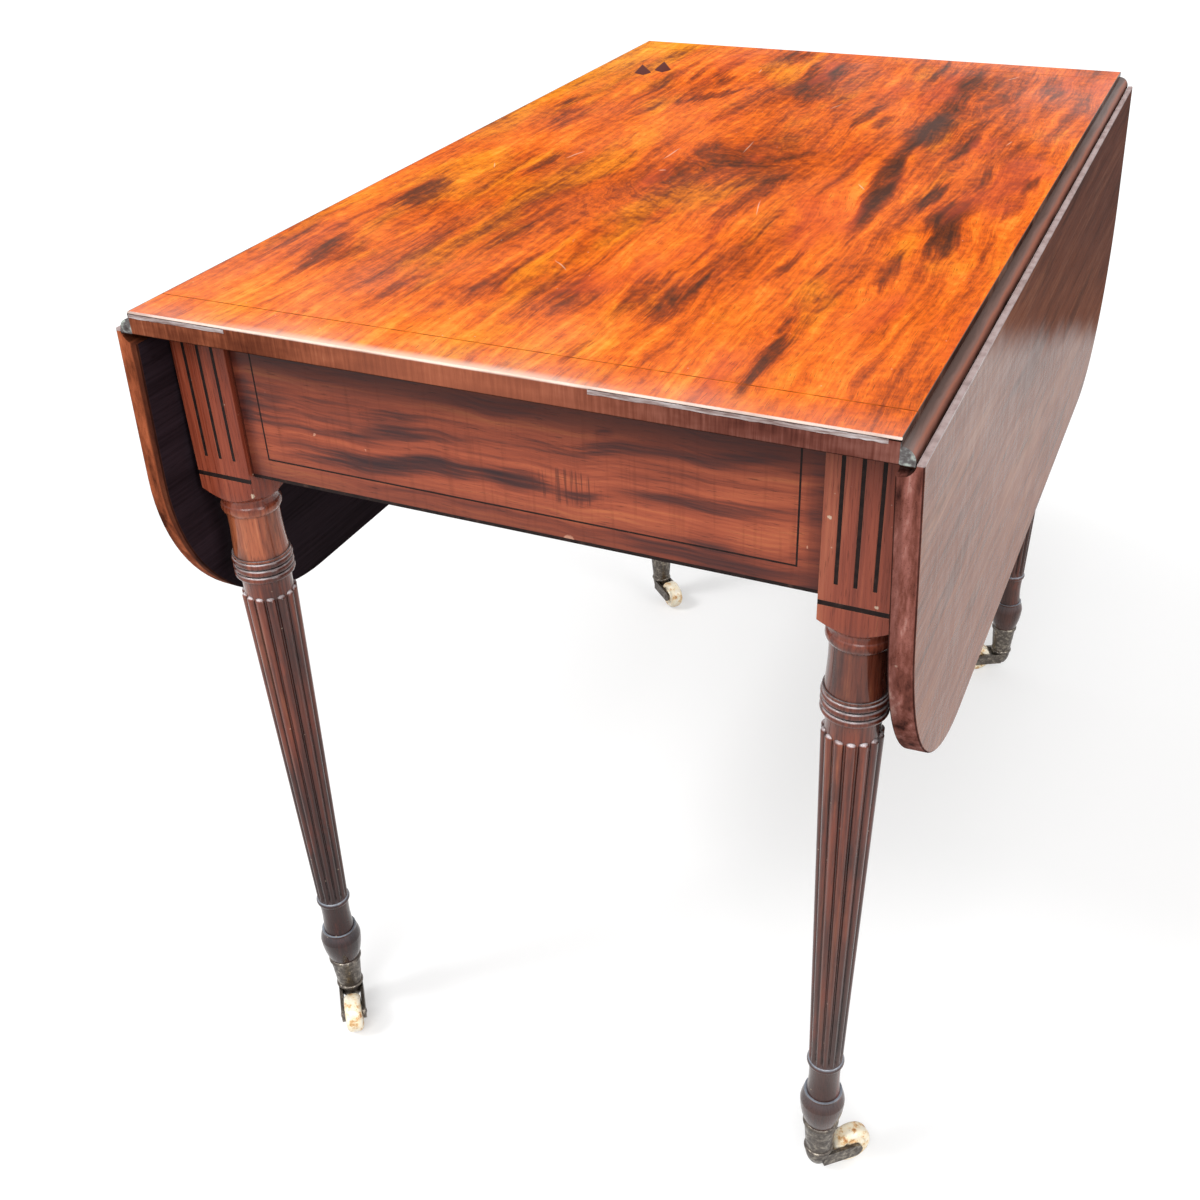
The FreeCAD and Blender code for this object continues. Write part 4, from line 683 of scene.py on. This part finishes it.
def top_mahogany():
    """Top: flame figure, cross-grained ends, darker moulded sides, and wear round the near edge."""
    n = new_material("mahogany_top")
    place = n.position()
    x, y, _ = n.split(place)
    lines = top_grain(n, place)
    patch = n.noise(n.stretch(place, (22, 0, 60)), 3.0)
    at_end = n.beyond(n.unsigned(y), END_Y, END_BORDER)
    at_side = n.beyond(n.unsigned(x), JOINT_X, SIDE_BORDER)
    colour = n.mix(at_end, top_face(n, place, lines), top_end(n, place, patch))
    colour = n.mix(at_side, colour, top_side(n, place, lines.strokes, at_end))
    return n.surface(
        Base_Color=top_wear(n, place, colour, patch), Roughness=n.spread(lines.fibres, 0.27, 0.4),
        Normal=relief(n, lines.fibres, lines.pores, 0.3, FILLED_RELIEF),
        Specular_IOR_Level=0.0, Coat_Weight=top_polish(n, place, at_end), Coat_Roughness=0.14
    )


def rail_tone(n, place, fibre):
    """Tone of the end rail: long wavy bands along X."""
    x, _, z = n.split(place)
    wave = n.centred(n.noise(n.stretch(place, (8, 0, 5)), 2.0))
    level = n.weigh(wave, 0.04, z)
    strokes = n.flat_noise(x, level, 7, 230, 5.0, 0.65)
    clumps = n.flat_noise(x, level, 3.4, 70, 5.0, 0.62, 0.3)
    broad = n.flat_noise(x, level, 5, 16, 3.0)
    tone = n.weigh(clumps, 0.4, n.weigh(strokes, 0.3, n.times(broad, 0.3)))
    tone = n.weigh(n.centred(fibre), 0.22, tone)
    return n.weigh(streaks(n, n.join(x, level), RAIL_STREAKS, 0.7), -0.1, tone)


def rail_mahogany():
    """Figured end rail with a cross-striped patch, painted shade under the top and beside the posts, and
    darker along its lower edge.
    """
    n = new_material("mahogany_frieze")
    place = n.position()
    x, _, z = n.split(place)
    fibre, _, pores = grain(n, "x")
    colour = n.ramp(rail_tone(n, place, fibre), FIGURE_FRIEZE)
    stripes = n.span(n.noise(n.stretch(place, (420, 0, 14)), 2.0), 0.5, 0.6)
    striped = n.times(n.span(streaks(n, n.join(x, z), [STRIPED_PATCH]), 0.0, 0.3), stripes)
    colour = n.stain(colour, "4e2822", striped, 0.6)
    # Darker up from the lower edge of the rail
    colour = n.mix(n.span(z, RAIL_LOW.z + RAIL_FOOT_DARK, RAIL_LOW.z, 0.0, 0.55), colour, "4a2623")
    # Painted shade beside the posts
    at_posts = n.span(n.unsigned(x), POST_X - POST_SHADE, POST_X, 0.0, 0.55)
    # Painted shadow under the overhang of the top
    under_top = n.times(n.beyond(z, RAIL_HIGH.z, RAIL_SHADE), 0.72)
    colour = n.mix(n.larger(at_posts, under_top), colour, "35191a")
    curls = n.span(n.noise(n.stretch(place, (230, 0, 12)), 3.0), 0.5, 0.7)
    colour = n.stain(colour, "5a2416", curls, 0.22)
    colour = n.stain(colour, "240c06", pores, 0.5)
    bare = n.larger(chips(n, place, RAIL_CHIPS), n.times(specks(n, place, 60, 0.06), 0.7))
    colour = n.stain(colour, "d09a80", bare, 0.75)
    return n.surface(
        Base_Color=colour, Roughness=n.spread(fibre, 0.33, 0.46),
        Normal=relief(n, fibre, pores, 0.3, FILLED_RELIEF), Specular_IOR_Level=0.24
    )


def leaf_edge(n, place, side, tones, dirt, worn):
    """Worn edge of a leaf, dark towards its inner side."""
    x, _, z = n.split(place)
    face_x = n.weigh(n.math("SUBTRACT", z, LEAF_LOW.z), -math.tan(LEAF_LEAN), LEAF_HIGH.x)
    depth = n.weigh(worn, LEAF_EDGE_WEAR, n.weigh(x, -side, face_x))
    return n.stain(n.ramp(worn, tones), "241312", n.span(depth, *LEAF_EDGE_DIRTY), dirt)


def leaf_face(n, place, tone, height, shade_and_dull_from, shade_and_dull_to):
    """Outer face of a leaf: paler mahogany below the line, a painted reflection, deeper above it, painted
    shade where the polish dulls; with dark figure.
    """
    # Painted reflection below the slanting line, painted shade above it
    dull_and_shaded = n.span(height, shade_and_dull_from - SHADE_SPREAD, shade_and_dull_to + SHADE_SPREAD)
    colour = n.stain(n.ramp(tone, REFLECTION_LEAF_TONES), n.ramp(tone, SHADED_LEAF_TONES), dull_and_shaded, 0.8)
    figure = n.noise(n.stretch(place, (46, 4.5, 46)), 5.0, 0.62, 0.2)
    return n.mix(n.span(figure, 0.46, 0.34, 0.0, 0.45), colour, "34170f")


def leaf_polish(n, place, height, shade_and_dull_from, shade_and_dull_to):
    """Polish of a leaf's outer face: uneven, best at the near end, duller above its line."""
    _, y, _ = n.split(place)
    dull_and_shaded = n.span(height, shade_and_dull_from, shade_and_dull_to)
    along = n.noise(n.stretch(place, (60, 24, 240)), 3.0)
    across = n.noise(n.stretch(place, (60, 260, 16)), 3.0)
    polish = n.times(n.span(y, -0.4, 0.1, 0.6, 0.45), n.span(dull_and_shaded, 0.0, 1.0, 1.0, 0.12))
    return n.times(polish, n.span(n.plus(along, across), 0.75, 1.25, 0.87, 1.13))


def leaf_mahogany(name):
    """Leaf: brown, dulled polish and painted shade above a slanting line, a painted reflection below it,
    almost black inside, worn round the edge.
    """
    side, edge_tones, edge_dirt, shade_and_dull_from, shade_and_dull_to = LEAVES[name]
    n = new_material("mahogany_" + name)
    place = n.position()
    _, y, z = n.split(place)
    fibre, band, pores = grain(n, "y")
    tone = n.weigh(fibre, 0.4, n.times(band, 0.6))
    across, _, _ = n.facing()
    outward = n.times(across, side)
    drift = n.noise(n.stretch(place, (0, 14, 14)), 3.0)
    height = n.weigh(y, SHADE_AND_DULL_SLOPE, n.weigh(drift, 0.03, z))
    worn = n.noise(n.stretch(place, (90, 90, 24)), 5.0, 0.65)
    outside = leaf_face(n, place, tone, height, shade_and_dull_from, shade_and_dull_to)
    edge = leaf_edge(n, place, side, edge_tones, edge_dirt, worn)
    colour = n.mix(n.span(outward, FACE_START, FACE_FULL), edge, outside)
    # Inner face: dark stain and painted shade
    colour = n.mix(n.span(outward, -FACE_FULL, -FACE_START), n.ramp(tone, SHADED_INNER_LEAF_TONES), colour)
    rim = n.between(n.unsigned(outward), 0.25, 0.5, 0.85, FACE_FULL)
    colour = n.stain(colour, "170b09", rim, 0.75)
    colour = n.stain(colour, "140807", pores, 0.4)
    colour = n.stain(colour, "b89a88", specks(n, place, 60, 0.07), 0.5)
    # Pale upper lip: wear, with a painted highlight along it
    lip = n.beyond(z, LEAF_HIGH.z, LEAF_LIP_WEAR_AND_HIGHLIGHT)
    colour = n.stain(colour, "b8a8a6", lip, n.span(worn, 0.35, 0.6, 0.6, 0.95))
    polish = leaf_polish(n, place, height, shade_and_dull_from, shade_and_dull_to)
    polish = n.times(polish, n.span(outward, FACE_START, FACE_FULL, 0.06, 1.0))
    return n.surface(
        Base_Color=colour, Roughness=n.spread(fibre, 0.34, 0.48),
        Normal=relief(n, fibre, pores, 0.4, OPEN_RELIEF),
        Specular_IOR_Level=0.0, Coat_Weight=polish, Coat_Roughness=0.2
    )


def plain_wood(name, axis, tones):
    """Unpolished inner timber."""
    n = new_material(name)
    fibre, band, pores = grain(n, axis)
    tone = n.weigh(fibre, 0.5, n.times(band, 0.5))
    colour = n.stain(n.ramp(tone, tones), "3a2614", pores, 0.3)
    return n.surface(Base_Color=colour, Roughness=n.spread(fibre, 0.6, 0.8), Normal=n.bump(fibre, 0.0002))


def ebony():
    """Black inlay, a little greyed on the surface."""
    n = new_material("ebony_inlay")
    worn = n.noise(n.stretch(n.position(), (160, 160, 160)), 4.0)
    rough = n.spread(worn, 0.35, 0.55)
    return n.surface(Base_Color=n.ramp(worn, EBONY_TONES), Roughness=rough, Specular_IOR_Level=0.1)


def worn_string():
    """String line of the top, faded until it is little darker than the wood."""
    n = new_material("worn_string")
    worn = n.noise(n.stretch(n.position(), (90, 90, 90)), 4.0)
    return n.surface(Base_Color=n.ramp(worn, STRING_TONES), Roughness=0.4, Specular_IOR_Level=0.0)


def metal(name, tones, dirt, roughness, scale):
    """Old metal: patches of bright and patinated surface, dirt in the hollows."""
    n = new_material(name)
    place = n.position()
    patch = n.noise(n.stretch(place, (scale,) * 3), 6.0, 0.65)
    colour = n.stain(n.ramp(patch, tones), dirt, n.span(n.shelter(0.004), 0.2, 0.8), 0.8)
    fine = n.noise(n.stretch(place, (scale * 8,) * 3), 4.0)
    rough = n.span(patch, 0.35, 0.65, roughness + 0.15, roughness - 0.1)
    return n.surface(
        Base_Color=colour, Metallic=n.span(patch, 0.3, 0.55, 0.55, 1.0), Roughness=rough,
        Normal=n.bump(fine, 0.00015)
    )


def ceramic():
    """Cream glazed wheel with brown stains, specks and dirt in the hollows."""
    n = new_material("cream_ceramic")
    place = n.position()
    patch = n.noise(n.stretch(place, (130, 130, 130)), 5.0, 0.65)
    speck = n.noise(n.stretch(place, (700, 700, 700)), 3.0)
    colour = n.mix(n.span(speck, 0.64, 0.72, 0.0, 0.6), n.ramp(patch, CERAMIC_TONES), "6a4026")
    colour = n.stain(colour, "6a4a30", n.span(n.shelter(0.004), 0.3, 0.9), 0.8)
    rough = n.span(patch, 0.35, 0.6, 0.45, 0.2)
    return n.surface(Base_Color=colour, Roughness=rough, Normal=n.bump(speck, 0.0001))


def worn_lip():
    """Bare, greyed edge of a lifted strip."""
    n = new_material("worn_lip")
    worn = n.noise(n.stretch(n.position(), (50, 40, 500)), 5.0, 0.65)
    return n.surface(Base_Color=n.ramp(worn, LIP_TONES), Roughness=0.4)


def dress_nodes():
    """Give every node of the frame its finish, by the start of its name."""
    knob = mahogany("mahogany_knob", "z", KNOB_TONES)
    rail = mahogany("mahogany_rail", "x", RAIL_TONES, 0.4, 0.04)
    long_wood = plain_wood("secondary_wood_long", "y", INNER_TONES)
    cross_wood = plain_wood("secondary_wood_cross", "x", INNER_TONES)
    black = ebony()
    iron = metal("hinge_iron", IRON_TONES, "1a1210", 0.5, 220)
    steel = metal("pin_steel", STEEL_TONES, "2a2420", 0.35, 260)
    brass = metal("castor_brass", BRASS_TONES, "16100c", 0.34, 240)
    finishes = {
        "top_board": top_mahogany(),
        "leaf_left": leaf_mahogany("leaf_left"),
        "leaf_right": leaf_mahogany("leaf_right"),
        "leg_": leg_mahogany(),
        "end_rail_front": rail_mahogany(),
        "drawer_rail_": rail,
        "rear_stiles": knob,
        "drawer_front": rail,
        "drawer_knobs": knob,
        "drawer_side_": long_wood,
        "drawer_bottom": cross_wood,
        "drawer_back": cross_wood,
        "drawer_runners": long_wood,
        "drawer_kickers": long_wood,
        "drawer_stops": long_wood,
        "side_rail_": long_wood,
        "fly_rail_": long_wood,
        "fly_bracket_": long_wood,
        "top_stringing": worn_string(),
        "end_stringing": black,
        "post_stringing": black,
        "hinge_flaps_": iron,
        "hinge_screws_": iron,
        "top_fixing_screws": iron,
        "hinge_pins": steel,
        "fly_pins": steel,
        "castor_cup_": brass,
        "castor_horn_": brass,
        "castor_axle_": brass,
        "castor_swivel_pins": steel,
        "castor_wheel_": ceramic(),
    }
    for name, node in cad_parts.items():
        finish = next(finishes[start] for start in finishes if name.startswith(start))
        node.data.materials.clear()
        node.data.materials.append(finish)


def new_piece(name, corners, faces, finish):
    """A mesh object in the scene."""
    mesh = bpy.data.meshes.new(name)
    mesh.from_pydata(corners, [], faces)
    mesh.materials.append(finish)
    piece = bpy.data.objects.new(name, mesh)
    bpy.context.scene.collection.objects.link(piece)
    return piece


def add_lips():
    """The lifted strips, with ragged edges."""
    finish = worn_lip()
    chance = random.Random(LIP_SEED)
    for name, ends in LIPS.items():
        start, end = (x * MM for x in ends)
        count = round((end - start) / LIP_STEP)
        corners, faces = [], []
        for index in range(count + 1):
            x = start + (end - start) * index / count
            high = TOP_Z - LIP_DROP + chance.uniform(-LIP_WAVER, LIP_WAVER)
            low = high - LIP_HEIGHT * chance.uniform(0.85, 1.05)
            front = -END_Y - LIP_PROUD * chance.uniform(0.6, 1.0)
            back = LIP_PROUD - END_Y
            corners += [(x, front, low), (x, front, high), (x, back, high), (x, back, low)]
        for first in range(4, len(corners), 4):
            for turn in range(4):
                after = (turn + 1) % 4
                faces.append((first + turn, first + after, first - 4 + after, first - 4 + turn))
        faces += [(3, 2, 1, 0), tuple(range(4 * count, 4 * count + 4))]
        strip = new_piece(name, corners, faces, finish)
        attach(strip, "frame")


def aim(direction, roll=0.0):
    """Turn that points -Z along the direction, with its own X level unless rolled."""
    forward = direction.normalized()
    right = forward.cross(Vector((0, 0, 1))).normalized()
    up = right.cross(forward)
    side = right * math.cos(roll) + up * math.sin(roll)
    rise = up * math.cos(roll) - right * math.sin(roll)
    return Matrix((side, rise, -forward)).transposed()


def add_camera():
    """Camera at the photograph's viewpoint, shifted to its centre."""
    lens = bpy.data.cameras.new("camera")
    lens.sensor_width = SENSOR
    lens.lens = CAMERA_FOCUS / PHOTO_SIZE * SENSOR
    lens.shift_x = 0.5 - CAMERA_CENTRE[0] / PHOTO_SIZE
    lens.shift_y = CAMERA_CENTRE[1] / PHOTO_SIZE - 0.5
    camera = bpy.data.objects.new("camera", lens)
    forward = Vector((
        -math.sin(CAMERA_YAW) * math.cos(CAMERA_PITCH),
        math.cos(CAMERA_YAW) * math.cos(CAMERA_PITCH),
        math.sin(CAMERA_PITCH),
    ))
    turn = aim(forward, CAMERA_ROLL).to_4x4()
    camera.matrix_world = Matrix.Translation(CAMERA_PLACE) @ turn
    bpy.context.scene.collection.objects.link(camera)
    bpy.context.scene.camera = camera


def sky_light(name, source, spread, strength):
    """Even light from one part of the sky, with a soft edge."""
    lamp = bpy.data.lights.new(name, "SUN")
    lamp.angle = math.radians(spread)
    lamp.energy = strength
    sun = bpy.data.objects.new(name, lamp)
    sun.matrix_world = aim(-Vector(source)).to_4x4()
    bpy.context.scene.collection.objects.link(sun)


def seen_directly(n):
    """1 for rays that show the background itself, its mirror image or its view through glass."""
    path = n.add("LightPath").outputs
    shown = n.larger(path["Is Camera Ray"], path["Is Glossy Ray"])
    return n.larger(shown, path["Is Transmission Ray"])


def add_floor():
    """Pale floor that keeps a soft shadow and throws back little light."""
    n = new_material("pale_floor")
    shown = seen_directly(n)
    matte = n.add("BsdfDiffuse", {"Color": n.mix(shown, FLOOR_BOUNCE, FLOOR_SEEN)}).outputs[0]
    glow = n.add("Emission", {"Color": WHITE, "Strength": FLOOR_GLOW}).outputs[0]
    share = n.times(shown, FLOOR_GLOW_SHARE)
    mixed = n.add("MixShader", {0: share, 1: matte, 2: glow}).outputs[0]
    n.add("OutputMaterial", {"Surface": mixed})
    corners = [(x * FLOOR_REACH, y * FLOOR_REACH, 0) for x, y in ((-1, -1), (1, -1), (1, 1), (-1, 1))]
    floor = new_piece("floor", corners, [(0, 1, 2, 3)], n.owner)


def add_world():
    """White background, which lights the table at part of its strength."""
    world = bpy.data.worlds.new("studio")
    bpy.context.scene.world = world
    n = Nodes(world)
    strength = n.weigh(seen_directly(n), 1.0 - SKY_LIGHT, SKY_LIGHT)
    glow = n.add("Background", {"Color": WHITE, "Strength": strength}).outputs[0]
    n.add("OutputWorld", {"Surface": glow})


dress_nodes()
add_lips()
add_camera()
add_floor()
add_world()
for lamp_name, settings in LAMPS.items():
    sky_light(lamp_name, *settings)
bpy.context.scene.view_settings.view_transform = "Standard"
